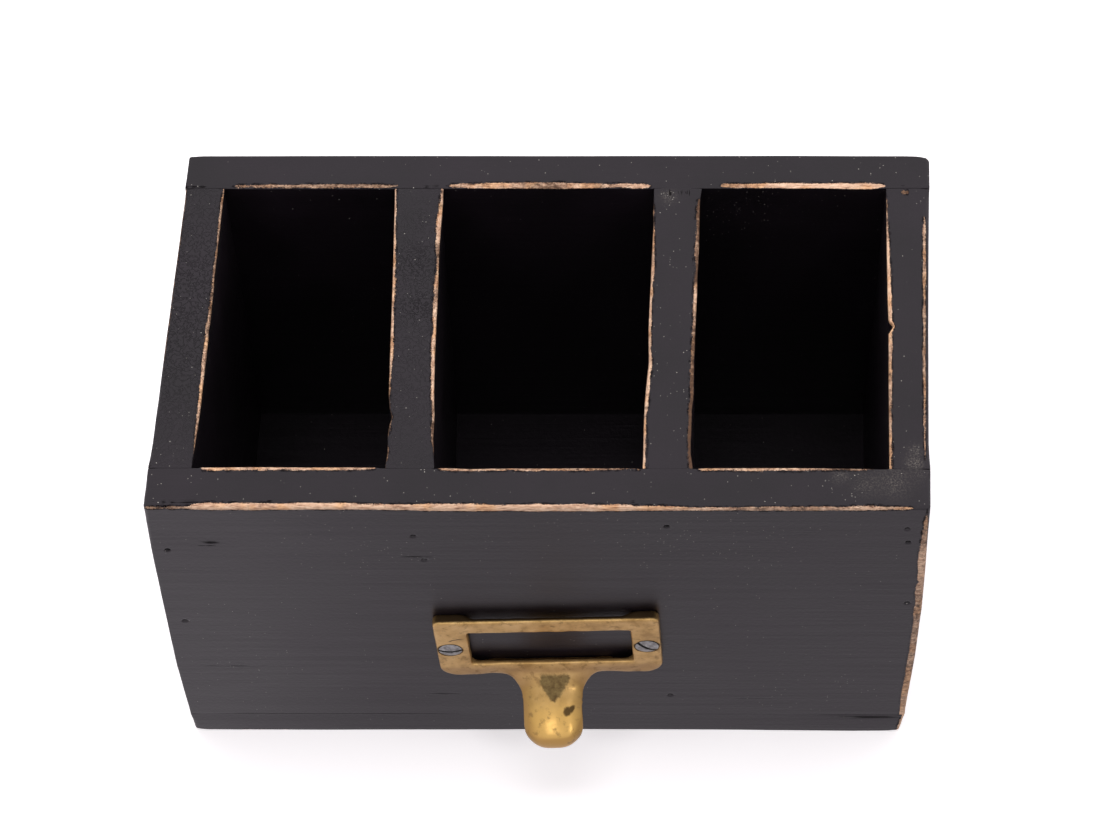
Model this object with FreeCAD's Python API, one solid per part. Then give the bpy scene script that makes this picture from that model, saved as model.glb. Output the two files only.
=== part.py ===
import FreeCAD, Part
import math
import os
from FreeCAD import Vector

# Pencil box: a hand-made desk box of painted boards with three open wells
# and a cast brass card frame with a finger pull on its front.
# Millimetres. +X runs to the right along the front, +Y to the back, +Z up.
# The origin is on the table, under the middle of the box.

# Overall box
BOX_LENGTH = 182.0
BOX_DEPTH = 97.5
BOX_HEIGHT = 116.2
# The box was nailed up slightly out of square: its back sits to the right of its front
RACK = 4.25
# The back board is a little shorter than the front board
BACK_SHORTFALL = 1.7

# Board thicknesses
BOTTOM_THICKNESS = 8.8
FRONT_THICKNESS = 10.4
BACK_THICKNESS = 9.5
# Boards that run from front to back were sawn by hand, so each has two thicknesses
LEFT_END_THICKNESS_FRONT = 11.2
LEFT_END_THICKNESS_BACK = 9.9
LEFT_DIVIDER_THICKNESS_FRONT = 10.9
LEFT_DIVIDER_THICKNESS_BACK = 10.9
RIGHT_DIVIDER_THICKNESS_FRONT = 11.8
RIGHT_DIVIDER_THICKNESS_BACK = 10.6
RIGHT_END_THICKNESS_FRONT = 10.3
RIGHT_END_THICKNESS_BACK = 11.2

# Widths of the two outer wells; the middle well takes what is left between the dividers
LEFT_WELL_FRONT = 44.3
LEFT_WELL_BACK = 41.1
RIGHT_WELL_FRONT = 44.9
RIGHT_WELL_BACK = 45.2

# Worn arrises: rounded outside and round the mouth of each well
OUTER_ARRIS = 1.4
WELL_ARRIS = 0.8

# Panel nails, set a little below the surface
NAIL_LENGTH = 25.0
NAIL_DIAMETER = 1.5
NAIL_HEAD_DIAMETER = 2.2
NAIL_HEAD_HEIGHT = 0.8
NAIL_POINT = 2.0
NAIL_SET_DEPTH = 0.9
HOLE_CLEARANCE = 0.05

# Front nails: how far right of its board's middle each one is, and its depth below the top
LEFT_END_NAIL_OFFSET = -2.2
LEFT_END_NAIL_DEPTH = 20.7
LEFT_END_LOWER_NAIL_OFFSET = -1.5
LEFT_END_LOWER_NAIL_DEPTH = 56.8
LEFT_DIVIDER_NAIL_OFFSET = 0.4
LEFT_DIVIDER_NAIL_DEPTH = 13.8
LEFT_DIVIDER_LOWER_NAIL_OFFSET = 2.5
LEFT_DIVIDER_LOWER_NAIL_DEPTH = 25.4
RIGHT_DIVIDER_NAIL_OFFSET = -0.4
RIGHT_DIVIDER_NAIL_DEPTH = 8.9
RIGHT_DIVIDER_LOWER_NAIL_OFFSET = 1.2
RIGHT_END_NAIL_OFFSET = -0.4
RIGHT_END_NAIL_DEPTH = 9.9
RIGHT_END_SECOND_NAIL_OFFSET = 0.1
RIGHT_END_SECOND_NAIL_DEPTH = 16.4
RIGHT_END_LOWER_NAIL_OFFSET = 1.2
RIGHT_END_LOWER_NAIL_DEPTH = 46.7
# Back nails, one row for each front-to-back board
BACK_NAIL_DEPTH = 12.0
BACK_MIDDLE_NAIL_DEPTH = 54.0
# The lowest nails, front and back, measured up from the table
LOW_NAIL_HEIGHT = 19.6

# Nails up through the bottom board into each wall
BOTTOM_NAIL_END_INSET = 28.0
BOTTOM_NAIL_ROW_LENGTH = 20.0

# Brass card frame: its middle on the front face, and how far it hangs out of level
PULL_OFFSET = 1.5
PULL_HEIGHT = 51.1
PULL_TILT_DEGREES = 2.7
PLATE_WIDTH = 54.9
PLATE_HEIGHT = 27.5
PLATE_CORNER = 3.2
PAD_THICKNESS = 2.7
PLATE_THICKNESS = 1.4
PLATE_ARRIS = 0.35
WINDOW_WIDTH = 39.6
WINDOW_HEIGHT = 16.2
WINDOW_OFFSET = 0.5
WINDOW_DROP = 0.5
# The card slides down behind the window from the top, and rests on a ledge below it
CARD_OVERLAP = 1.3

# Finger pull: a hollow hooded tongue that leaves the lower bar, slopes down and curls in at its lip
TONGUE_OFFSET = -0.1
TONGUE_WIDTH = 14.9
TONGUE_REACH = 17.2
TONGUE_THICKNESS = 1.9
TONGUE_ROOT_DROP = 10.6
TONGUE_NOSE_DROP = 25.2
TONGUE_NOSE_RADIUS = 6.0
TONGUE_CROWN = 3.4
TONGUE_FLARE = 31.0

# Slotted wood screws with raised countersunk heads
SCREW_SPACING = 48.0
SCREW_DROP = 0.6
SCREW_HEAD_DIAMETER = 5.7
SCREW_SHANK_DIAMETER = 2.8
SCREW_LENGTH = 12.7
SCREW_POINT = 3.0
SCREW_DOME = 0.5
SCREW_SLOT_WIDTH = 0.8
SCREW_SLOT_DEPTH = 0.7
SCREW_CLEARANCE = 0.15
COUNTERSINK_DEGREES = 82.0
LEFT_SLOT_DEGREES = 0.0
RIGHT_SLOT_DEGREES = 42.0

# Places worked out from the sizes above
FRONT_Y = -BOX_DEPTH / 2
BACK_Y = BOX_DEPTH / 2
INNER_FRONT_Y = FRONT_Y + FRONT_THICKNESS
INNER_BACK_Y = BACK_Y - BACK_THICKNESS
# How far a cutting shape runs past the surface that it opens, and how near counts as touching
OUTSIDE = 5.0
TOUCHING = 0.001
# How far the tongue's feet slant inward, as a share of its thickness
FOOT_SLANT = 0.25
# Where the tongue's straight slope turns into its nose, as an angle above level
NOSE_START_DEGREES = 60
UP = Vector(0, 0, 1)
BACKWARD = Vector(0, 1, 0)
FORWARD = Vector(0, -1, 0)


def along(front_x, back_x, y):
    """Place at depth y on a straight line from front_x at the front face to back_x at the back face."""
    share = (y - FRONT_Y) / BOX_DEPTH
    return front_x + (back_x - front_x) * share


def outer_left(y):
    return along(-BOX_LENGTH / 2, RACK - (BOX_LENGTH - BACK_SHORTFALL) / 2, y)


def outer_right(y):
    return along(BOX_LENGTH / 2, RACK + (BOX_LENGTH - BACK_SHORTFALL) / 2, y)


def polygon_prism(corners, bottom, top):
    """Upright prism over a plan polygon."""
    points = [Vector(x, y, bottom) for x, y in corners]
    wire = Part.makePolygon(points + [points[0]])
    return Part.Face(wire).extrude(Vector(0, 0, top - bottom))


def upright_faces():
    """Left and right face of each front-to-back board, at its front end and at its back end."""
    left_end_front = outer_left(INNER_FRONT_Y)
    left_end_back = outer_left(INNER_BACK_Y)
    right_end_front = outer_right(INNER_FRONT_Y)
    right_end_back = outer_right(INNER_BACK_Y)
    left_end_inner_front = left_end_front + LEFT_END_THICKNESS_FRONT
    left_end_inner_back = left_end_back + LEFT_END_THICKNESS_BACK
    right_end_inner_front = right_end_front - RIGHT_END_THICKNESS_FRONT
    right_end_inner_back = right_end_back - RIGHT_END_THICKNESS_BACK
    left_divider_front = left_end_inner_front + LEFT_WELL_FRONT
    left_divider_back = left_end_inner_back + LEFT_WELL_BACK
    right_divider_front = right_end_inner_front - RIGHT_WELL_FRONT
    right_divider_back = right_end_inner_back - RIGHT_WELL_BACK
    return {
        "left_end": ((left_end_front, left_end_inner_front), (left_end_back, left_end_inner_back)),
        "left_divider": (
            (left_divider_front, left_divider_front + LEFT_DIVIDER_THICKNESS_FRONT),
            (left_divider_back, left_divider_back + LEFT_DIVIDER_THICKNESS_BACK),
        ),
        "right_divider": (
            (right_divider_front - RIGHT_DIVIDER_THICKNESS_FRONT, right_divider_front),
            (right_divider_back - RIGHT_DIVIDER_THICKNESS_BACK, right_divider_back),
        ),
        "right_end": ((right_end_inner_front, right_end_front), (right_end_inner_back, right_end_back)),
    }


UPRIGHTS = upright_faces()


def upright_corners(name):
    front, back = UPRIGHTS[name]
    return [
        (front[0], INNER_FRONT_Y),
        (front[1], INNER_FRONT_Y),
        (back[1], INNER_BACK_Y),
        (back[0], INNER_BACK_Y),
    ]


def upright_middle(name, y):
    """Middle of a front-to-back board's thickness at depth y."""
    front, back = UPRIGHTS[name]
    share = (y - INNER_FRONT_Y) / (INNER_BACK_Y - INNER_FRONT_Y)
    front_middle = sum(front) / 2
    back_middle = sum(back) / 2
    return front_middle + (back_middle - front_middle) * share


def outline(front, back):
    """Plan outline of the box between two depths."""
    return [
        (outer_left(front), front),
        (outer_right(front), front),
        (outer_right(back), back),
        (outer_left(back), back),
    ]


def well_corners(left_board, right_board):
    """Plan of the well between two front-to-back boards."""
    left_front, left_back = (end[1] for end in UPRIGHTS[left_board])
    right_front, right_back = (end[0] for end in UPRIGHTS[right_board])
    return [
        (left_front, INNER_FRONT_Y),
        (right_front, INNER_FRONT_Y),
        (right_back, INNER_BACK_Y),
        (left_back, INNER_BACK_Y),
    ]


def is_mouth_edge(edge):
    """True for the top edges of the wells, which lie between the front and the back board."""
    box = edge.BoundBox
    level = box.ZMin > BOX_HEIGHT - TOUCHING
    return level and box.YMin > INNER_FRONT_Y - TOUCHING and box.YMax < INNER_BACK_Y + TOUCHING


def worn_box():
    """The whole box as one solid with its arrises rounded by wear; each board is cut to it."""
    order = list(UPRIGHTS)
    wells = [
        polygon_prism(well_corners(left, right), BOTTOM_THICKNESS, BOX_HEIGHT + OUTSIDE)
        for left, right in zip(order, order[1:])
    ]
    block = polygon_prism(outline(FRONT_Y, BACK_Y), 0, BOX_HEIGHT)
    block = block.makeFillet(OUTER_ARRIS, block.Edges).cut(wells)
    return block.makeFillet(WELL_ARRIS, [edge for edge in block.Edges if is_mouth_edge(edge)])


def nail(start, direction):
    """Panel nail: a small cupped head, a round shank and a point."""
    head = Part.makeCylinder(NAIL_HEAD_DIAMETER / 2, NAIL_HEAD_HEIGHT, start, direction)
    shank_length = NAIL_LENGTH - NAIL_HEAD_HEIGHT - NAIL_POINT
    shank_start = start + direction * NAIL_HEAD_HEIGHT
    shank = Part.makeCylinder(NAIL_DIAMETER / 2, shank_length, shank_start, direction)
    point_start = shank_start + direction * shank_length
    point = Part.makeCone(NAIL_DIAMETER / 2, 0, NAIL_POINT, point_start, direction)
    return head.fuse([shank, point]).removeSplitter()


def nail_hole(start, direction):
    """Hole that the nail fills, open to the surface over its sunk head."""
    radius = NAIL_HEAD_DIAMETER / 2 + HOLE_CLEARANCE
    mouth_start = start - direction * (NAIL_SET_DEPTH + OUTSIDE)
    mouth_length = NAIL_SET_DEPTH + OUTSIDE + NAIL_HEAD_HEIGHT + HOLE_CLEARANCE
    mouth = Part.makeCylinder(radius, mouth_length, mouth_start, direction)
    shank_radius = NAIL_DIAMETER / 2 + HOLE_CLEARANCE
    shank = Part.makeCylinder(shank_radius, NAIL_LENGTH + HOLE_CLEARANCE, start, direction)
    return mouth.fuse(shank)


# Offset and height of each nail through the front board, by the board that it holds
FRONT_NAILS = {
    "left_end": [
        (LEFT_END_NAIL_OFFSET, BOX_HEIGHT - LEFT_END_NAIL_DEPTH),
        (LEFT_END_LOWER_NAIL_OFFSET, BOX_HEIGHT - LEFT_END_LOWER_NAIL_DEPTH),
    ],
    "left_divider": [
        (LEFT_DIVIDER_NAIL_OFFSET, BOX_HEIGHT - LEFT_DIVIDER_NAIL_DEPTH),
        (LEFT_DIVIDER_LOWER_NAIL_OFFSET, BOX_HEIGHT - LEFT_DIVIDER_LOWER_NAIL_DEPTH),
    ],
    "right_divider": [
        (RIGHT_DIVIDER_NAIL_OFFSET, BOX_HEIGHT - RIGHT_DIVIDER_NAIL_DEPTH),
        (RIGHT_DIVIDER_LOWER_NAIL_OFFSET, LOW_NAIL_HEIGHT),
    ],
    "right_end": [
        (RIGHT_END_NAIL_OFFSET, BOX_HEIGHT - RIGHT_END_NAIL_DEPTH),
        (RIGHT_END_SECOND_NAIL_OFFSET, BOX_HEIGHT - RIGHT_END_SECOND_NAIL_DEPTH),
        (RIGHT_END_LOWER_NAIL_OFFSET, BOX_HEIGHT - RIGHT_END_LOWER_NAIL_DEPTH),
    ],
}
# Heights of the nails through the back board, which can't be seen in the photograph
BACK_NAIL_HEIGHTS = [BOX_HEIGHT - BACK_NAIL_DEPTH, BOX_HEIGHT - BACK_MIDDLE_NAIL_DEPTH, LOW_NAIL_HEIGHT]


def front_nail_places(name):
    y = FRONT_Y + NAIL_SET_DEPTH
    middle = upright_middle(name, INNER_FRONT_Y)
    return [(Vector(middle + offset, y, height), BACKWARD) for offset, height in FRONT_NAILS[name]]


def back_nail_places(name):
    y = BACK_Y - NAIL_SET_DEPTH
    middle = upright_middle(name, INNER_BACK_Y)
    return [(Vector(middle, y, height), FORWARD) for height in BACK_NAIL_HEIGHTS]


def bottom_nail_places_across(y, left, right):
    """Three nails up through the bottom board into the front or the back board."""
    first = left + BOTTOM_NAIL_END_INSET
    last = right - BOTTOM_NAIL_END_INSET
    return [(Vector(x, y, NAIL_SET_DEPTH), UP) for x in (first, (first + last) / 2, last)]


def bottom_nail_places_under(name):
    """Two nails up through the bottom board into a front-to-back board."""
    middle_y = (INNER_FRONT_Y + INNER_BACK_Y) / 2
    places = []
    for side in (-1, 1):
        y = middle_y + side * BOTTOM_NAIL_ROW_LENGTH / 2
        places.append((Vector(upright_middle(name, y), y, NAIL_SET_DEPTH), UP))
    return places


def all_nail_places():
    """Every joint's nails, by the name of their node."""
    front_middle = FRONT_Y + FRONT_THICKNESS / 2
    back_middle = BACK_Y - BACK_THICKNESS / 2
    places = {}
    for name in UPRIGHTS:
        places["front_nails_" + name] = front_nail_places(name)
        places["back_nails_" + name] = back_nail_places(name)
        places["bottom_nails_" + name] = bottom_nail_places_under(name)
    for board, y in (("front_board", front_middle), ("back_board", back_middle)):
        places["bottom_nails_" + board] = bottom_nail_places_across(y, outer_left(y), outer_right(y))
    return places


def on_front(shape):
    """Move a shape from the card frame's own place, flat on the wood, to its place on the front board."""
    shape.rotate(Vector(0, 0, 0), Vector(0, 1, 0), -PULL_TILT_DEGREES)
    shape.translate(Vector(PULL_OFFSET, FRONT_Y, PULL_HEIGHT))
    return shape


def screw_place(side):
    """Middle of a screw's head on the front of the pad, in the card frame's own place."""
    return Vector(side * SCREW_SPACING / 2, -PAD_THICKNESS, -SCREW_DROP)


def head_depth():
    """Depth of the head's cone, from its widest part down to the shank."""
    step = (SCREW_HEAD_DIAMETER - SCREW_SHANK_DIAMETER) / 2
    return step / math.tan(math.radians(COUNTERSINK_DEGREES / 2))


def screw(side, slot_degrees):
    """Wood screw with a raised countersunk head and one slot, driven flush into its pad."""
    start = screw_place(side)
    radius = SCREW_HEAD_DIAMETER / 2
    shank_radius = SCREW_SHANK_DIAMETER / 2
    cone = Part.makeCone(radius, shank_radius, head_depth(), start, BACKWARD)
    shank_start = start + BACKWARD * head_depth()
    shank_length = SCREW_LENGTH - head_depth() - SCREW_POINT
    shank = Part.makeCylinder(shank_radius, shank_length, shank_start, BACKWARD)
    point = Part.makeCone(shank_radius, 0, SCREW_POINT, shank_start + BACKWARD * shank_length, BACKWARD)
    dome_radius = (radius ** 2 + SCREW_DOME ** 2) / (2 * SCREW_DOME)
    ball = Part.makeSphere(dome_radius, start + BACKWARD * (dome_radius - SCREW_DOME))
    cap = ball.common(Part.makeCylinder(radius, SCREW_DOME, start, FORWARD))
    body = cone.fuse([shank, point, cap]).removeSplitter()
    slot = Part.makeBox(2 * radius, SCREW_SLOT_DEPTH + SCREW_DOME, SCREW_SLOT_WIDTH)
    slot.translate(Vector(-radius, -SCREW_DOME, -SCREW_SLOT_WIDTH / 2))
    slot.rotate(Vector(0, 0, 0), Vector(0, 1, 0), slot_degrees)
    slot.translate(start)
    return on_front(body.cut(slot))


def screw_hole_in_pad(side):
    """Countersunk hole in the card frame, with a little room round the screw."""
    start = screw_place(side) - BACKWARD * SCREW_CLEARANCE
    radius = SCREW_HEAD_DIAMETER / 2 + SCREW_CLEARANCE
    shank_radius = SCREW_SHANK_DIAMETER / 2 + SCREW_CLEARANCE
    cone = Part.makeCone(radius, shank_radius, head_depth() + SCREW_CLEARANCE, start, BACKWARD)
    mouth = Part.makeCylinder(radius, OUTSIDE, start, FORWARD)
    through = Part.makeCylinder(shank_radius, PAD_THICKNESS + OUTSIDE, start, BACKWARD)
    return cone.fuse([mouth, through])


def screw_hole_in_board(side):
    """Pilot hole in the front board, from its face to the screw's tip."""
    start = screw_place(side) + BACKWARD * head_depth()
    radius = SCREW_SHANK_DIAMETER / 2 + HOLE_CLEARANCE
    length = SCREW_LENGTH - head_depth() + HOLE_CLEARANCE
    return on_front(Part.makeCylinder(radius, length, start, BACKWARD))


def block(width, thickness, height, front, middle_x, middle_z):
    """Box of the given width, thickness and height, from its front face back."""
    corner = Vector(middle_x - width / 2, front, middle_z - height / 2)
    return Part.makeBox(width, thickness, height, corner)


def card_plate():
    """Label frame: a plate with a window, thick at its ends and cut back behind for the card."""
    plate = block(PLATE_WIDTH, PAD_THICKNESS, PLATE_HEIGHT, -PAD_THICKNESS, 0, 0)
    corners = [edge for edge in plate.Edges if abs(edge.tangentAt(edge.FirstParameter).y) > 0.99]
    plate = plate.makeFillet(PLATE_CORNER, corners)
    front_edges = [edge for edge in plate.Edges if edge.BoundBox.YMax < -PAD_THICKNESS + PLATE_ARRIS / 2]
    plate = plate.makeFillet(PLATE_ARRIS, front_edges)
    window = block(WINDOW_WIDTH, PAD_THICKNESS + OUTSIDE, WINDOW_HEIGHT,
                   -PAD_THICKNESS - OUTSIDE / 2, WINDOW_OFFSET, -WINDOW_DROP)
    ledge = -WINDOW_DROP - WINDOW_HEIGHT / 2 - CARD_OVERLAP
    card_width = WINDOW_WIDTH + 2 * CARD_OVERLAP
    card_height = PLATE_HEIGHT / 2 + OUTSIDE - ledge
    card_space = block(card_width, PAD_THICKNESS, card_height, PLATE_THICKNESS - PAD_THICKNESS,
                       WINDOW_OFFSET, ledge + card_height / 2)
    return plate.cut([window, card_space])


def hood_section(crown, outward, half_width, drop):
    """Outline across the tongue: an arch outside, a lower arch inside, and two feet."""
    across = Vector(1, 0, 0)
    outer_left_foot = crown - across * half_width - outward * drop
    outer_right_foot = crown + across * half_width - outward * drop
    foot_step = outward * TONGUE_THICKNESS * FOOT_SLANT
    inner_left_foot = outer_left_foot + across * TONGUE_THICKNESS - foot_step
    inner_right_foot = outer_right_foot - across * TONGUE_THICKNESS - foot_step
    inner_crown = crown - outward * TONGUE_THICKNESS
    edges = [
        Part.Arc(outer_left_foot, crown, outer_right_foot).toShape(),
        Part.LineSegment(outer_right_foot, inner_right_foot).toShape(),
        Part.Arc(inner_right_foot, inner_crown, inner_left_foot).toShape(),
        Part.LineSegment(inner_left_foot, outer_left_foot).toShape(),
    ]
    return Part.Wire(edges)


def nose_point(degrees):
    """Place on the tongue's rounded nose, out from the plate and down, at an angle above level."""
    angle = math.radians(degrees)
    middle_out = TONGUE_REACH - PAD_THICKNESS - TONGUE_NOSE_RADIUS
    out = middle_out + TONGUE_NOSE_RADIUS * math.cos(angle)
    down = TONGUE_NOSE_DROP - TONGUE_NOSE_RADIUS * math.sin(angle)
    return out, down


def tongue():
    """Finger pull, lofted through arches from the lower bar out, down and round its nose."""
    half = TONGUE_WIDTH / 2
    flare = TONGUE_FLARE / 2
    nose_out, nose_down = nose_point(NOSE_START_DEGREES)
    # Share of the way out to the nose, share of the way down, half width, and share of the crown's height
    slope = [
        (-0.04, 0.00, flare, 0.10),
        (0.10, 0.20, (flare + half) / 2, 0.40),
        (0.34, 0.42, 1.10 * half, 0.80),
        (0.66, 0.68, 1.02 * half, 0.95),
    ]
    # Angle above level, half width, and share of the crown's height
    nose = [
        (NOSE_START_DEGREES, 1.00 * half, 1.00),
        (20, 0.96 * half, 1.00),
        (-20, 0.88 * half, 0.95),
        (-60, 0.74 * half, 0.75),
    ]
    fall = nose_down - TONGUE_ROOT_DROP
    places = [(out * nose_out, TONGUE_ROOT_DROP + down * fall) for out, down, half_width, share in slope]
    places += [nose_point(degrees) for degrees, half_width, share in nose]
    shapes = [row[-2:] for row in slope + nose]
    crowns = [Vector(TONGUE_OFFSET, -PAD_THICKNESS - out, -down) for out, down in places]
    wires = []
    for i, (half_width, share) in enumerate(shapes):
        run = crowns[min(i + 1, len(crowns) - 1)] - crowns[max(i - 1, 0)]
        outward = run.cross(Vector(1, 0, 0)).normalize()
        wires.append(hood_section(crowns[i], outward, half_width, share * TONGUE_CROWN))
    return Part.makeLoft(wires, True, False)


def card_frame_pull():
    holes = [screw_hole_in_pad(side) for side in (-1, 1)]
    casting = card_plate().fuse(tongue()).cut(holes)
    return on_front(casting.removeSplitter())


def boards():
    """The bottom and the six walls, cut to the worn outline, with their holes still to make."""
    solids = {
        "bottom_board": polygon_prism(outline(FRONT_Y, BACK_Y), 0, BOTTOM_THICKNESS),
        "front_board": polygon_prism(outline(FRONT_Y, INNER_FRONT_Y), BOTTOM_THICKNESS, BOX_HEIGHT),
        "back_board": polygon_prism(outline(INNER_BACK_Y, BACK_Y), BOTTOM_THICKNESS, BOX_HEIGHT),
        "left_end_board": polygon_prism(upright_corners("left_end"), BOTTOM_THICKNESS, BOX_HEIGHT),
        "right_end_board": polygon_prism(upright_corners("right_end"), BOTTOM_THICKNESS, BOX_HEIGHT),
        "left_divider": polygon_prism(upright_corners("left_divider"), BOTTOM_THICKNESS, BOX_HEIGHT),
        "right_divider": polygon_prism(upright_corners("right_divider"), BOTTOM_THICKNESS, BOX_HEIGHT),
    }
    envelope = worn_box()
    return {name: solid.common(envelope) for name, solid in solids.items()}


def main():
    os.makedirs("parts", exist_ok=True)
    nail_places = all_nail_places()
    nail_holes = [nail_hole(*place) for places in nail_places.values() for place in places]
    screw_holes = [screw_hole_in_board(side) for side in (-1, 1)]
    nodes = {name: solid.cut(nail_holes + screw_holes) for name, solid in boards().items()}
    nodes["card_frame_pull"] = card_frame_pull()
    nodes["left_pull_screw"] = screw(-1, LEFT_SLOT_DEGREES)
    nodes["right_pull_screw"] = screw(1, RIGHT_SLOT_DEGREES)
    for name, places in nail_places.items():
        nodes[name] = Part.makeCompound([nail(*place) for place in places])
    for name, shape in nodes.items():
        shape.exportStep("parts/" + name + ".step")
        box = shape.BoundBox
        print(name, "solids", len(shape.Solids), "valid", shape.isValid(), "volume", round(shape.Volume, 1),
              "x", round(box.XMin, 2), round(box.XMax, 2), "y", round(box.YMin, 2), round(box.YMax, 2),
              "z", round(box.ZMin, 2), round(box.ZMax, 2))


main()
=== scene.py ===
import math
from collections import namedtuple
from functools import partial

import bpy
import numpy as np
from mathutils import Euler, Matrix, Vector


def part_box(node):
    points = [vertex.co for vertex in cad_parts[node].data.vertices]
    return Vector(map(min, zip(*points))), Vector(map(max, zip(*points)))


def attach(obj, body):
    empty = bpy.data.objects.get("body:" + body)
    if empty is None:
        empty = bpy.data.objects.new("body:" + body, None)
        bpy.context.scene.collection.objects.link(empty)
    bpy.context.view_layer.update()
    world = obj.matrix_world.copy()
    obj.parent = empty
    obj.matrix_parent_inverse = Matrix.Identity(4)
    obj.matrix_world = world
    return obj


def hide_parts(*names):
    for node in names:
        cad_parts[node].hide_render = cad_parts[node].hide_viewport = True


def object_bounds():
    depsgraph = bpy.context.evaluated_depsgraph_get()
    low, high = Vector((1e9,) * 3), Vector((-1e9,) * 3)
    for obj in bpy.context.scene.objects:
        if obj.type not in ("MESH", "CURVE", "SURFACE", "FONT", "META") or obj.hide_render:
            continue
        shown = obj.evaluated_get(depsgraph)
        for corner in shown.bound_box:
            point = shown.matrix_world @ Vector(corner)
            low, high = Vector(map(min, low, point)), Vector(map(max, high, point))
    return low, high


# The look of a hand-made pencil box: seven boards of black painted wood with worn edges,
# and a cast brass card frame with its two steel screws.
# Shapes are worked out in millimetres, and MM turns them to metres when a mesh is made.
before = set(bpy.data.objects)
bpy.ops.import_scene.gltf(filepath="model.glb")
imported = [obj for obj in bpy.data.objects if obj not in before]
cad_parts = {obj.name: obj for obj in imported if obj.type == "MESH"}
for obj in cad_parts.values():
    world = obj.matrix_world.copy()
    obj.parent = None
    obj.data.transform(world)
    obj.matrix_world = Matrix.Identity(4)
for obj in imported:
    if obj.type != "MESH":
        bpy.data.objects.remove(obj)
CAD_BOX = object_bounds()
MM = 0.001
TOUCHING = 0.01


def box_mm(node):
    """Lowest and highest corner of a CAD node, in millimetres."""
    return [np.array(corner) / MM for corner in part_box(node)]


def rows_of(elements, name, width, kind=float):
    """One property of a mesh's vertices or edges, as rows of width numbers."""
    values = np.empty(len(elements) * width, dtype=kind)
    elements.foreach_get(name, values)
    return values.reshape(-1, width)


def node_points(node):
    """Points of a CAD node, in millimetres."""
    return rows_of(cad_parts[node].data.vertices, "co", 3) / MM


def side_line(node, side):
    """Straight line x = start + slope * y along a node's left (-1) or right (+1) face.

    It rests against the outermost point of the front half and of the back half in turn
    until both lie on it.
    """
    points = node_points(node)
    middle = (points[:, 1].min() + points[:, 1].max()) / 2
    halves = [points[points[:, 1] < middle], points[points[:, 1] >= middle]]
    slope = 0.0
    for _ in range(5):
        near, far = [half[np.argmax(side * (half[:, 0] - slope * half[:, 1]))] for half in halves]
        slope = (far[0] - near[0]) / (far[1] - near[1])
    return near[0] - slope * near[1], slope


# Noise

def waves(points, seed, lengths, count=5):
    """Smooth random height over space: a sum of sines, each along a random direction.

    Each wave is sin(2 pi * distance along its direction / its length + phase). The sum runs
    from about -1 to 1, and boards that lie side by side get the same value where they meet.
    """
    draw = np.random.default_rng(seed)
    total = np.zeros(len(points))
    for length in lengths:
        directions = draw.normal(size=(count, 3))
        directions /= np.linalg.norm(directions, axis=1)[:, None]
        phases = draw.uniform(0, 2 * math.pi, count)
        total += np.sin(points @ directions.T * (2 * math.pi / length) + phases).sum(1)
    return total / (count * len(lengths)) ** 0.5


def wander(places, seed, step):
    """Smooth random line: random knots every step millimetres, joined by eased curves."""
    draw = np.random.default_rng(seed)
    knots = draw.uniform(-1, 1, 600)
    place = (np.asarray(places) + 200.0) / step
    whole = np.floor(place).astype(int) % 599
    part = place - np.floor(place)
    ease = part * part * (3 - 2 * part)
    return knots[whole] * (1 - ease) + knots[whole + 1] * ease


def smooth_step(value, low, high):
    """0 below low, 1 above high, and an S curve between."""
    part = np.clip((value - low) / (high - low), 0, 1)
    return part * part * (3 - 2 * part)


# Worn arrises
# Lines are {place along the arris: value}, in millimetres.
# radius: rounding; raw: half width of the bare band; shift: how far the band lies towards the
# face that the arris's second word names; stain: 0 to 1, how dark the bare wood is;
# sway: how far the first-named face stands out near the arris; vees: (place, length, depth)
# of V notches; patchy: how much the band's half width comes and goes; ragged: how nibbled its
# edge is, where 1 is as usual
PAINTED = -3.0
Arris = namedtuple("Arris", "radius raw shift stain sway vees patchy ragged",
                   defaults=({0: 0.5}, {0: PAINTED}, {0: 0.0}, {0: 0.2}, {0: 0.0}, [], 0.0, {0: 1.0}))
JOINT = Arris(radius={0: 0.03})
SHARP_UNDER = 0.06  # radius under which an arris is a joint
SOFT = Arris(radius={0: 0.5})
RUBBED = Arris(radius={0: 0.9}, raw={0: 0.25}, stain={0: 0.35}, patchy=0.75)
LEAST_RADIUS = 0.02
# How an arris wanders: its rounding twice over and its band's width as shares, the band's edge
# in millimetres, and its patches. Each has an amount and the length of its bends.
WANDERS = ((0.22, 7.0), (0.10, 2.3), (0.12, 5.0), (0.05, 1.1), (1.0, 13.0))
# How far from the arris it rounds, sways and notches the board, and how deep sway goes into it
BLEND_REACH = 1.6
SWAY_REACH = 9.0
VEE_REACH = 3.0
SWAY_DEPTH = 3.0

# Which way each word puts an arris: the axis it fixes, and its low or high end
SIDES = {"left": (0, 0), "right": (0, 1), "front": (1, 0), "back": (1, 1), "bottom": (2, 0), "top": (2, 1)}


def along_line(line, places):
    """Value of a {place: value} line at many places, in straight runs between its points."""
    return np.interp(places, list(line), list(line.values()))


# How far each end of the box draws in from straight: {height: mm}
LEFT_DRAW = {0: 1.3, 3: 1.1, 8.8: 0.9, 20: 0.45, 40: -0.25, 60: -0.35, 90: -0.15, 105: 0.05, 117: 0.2}
RIGHT_DRAW = {0: 1.2, 3: 0.75, 8.8: 0.25, 20: 0.0, 40: -0.5, 64: -0.5, 85: -0.1, 105: 0.45, 117: 0.7}
DRAW_REACH = 11.0

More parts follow.
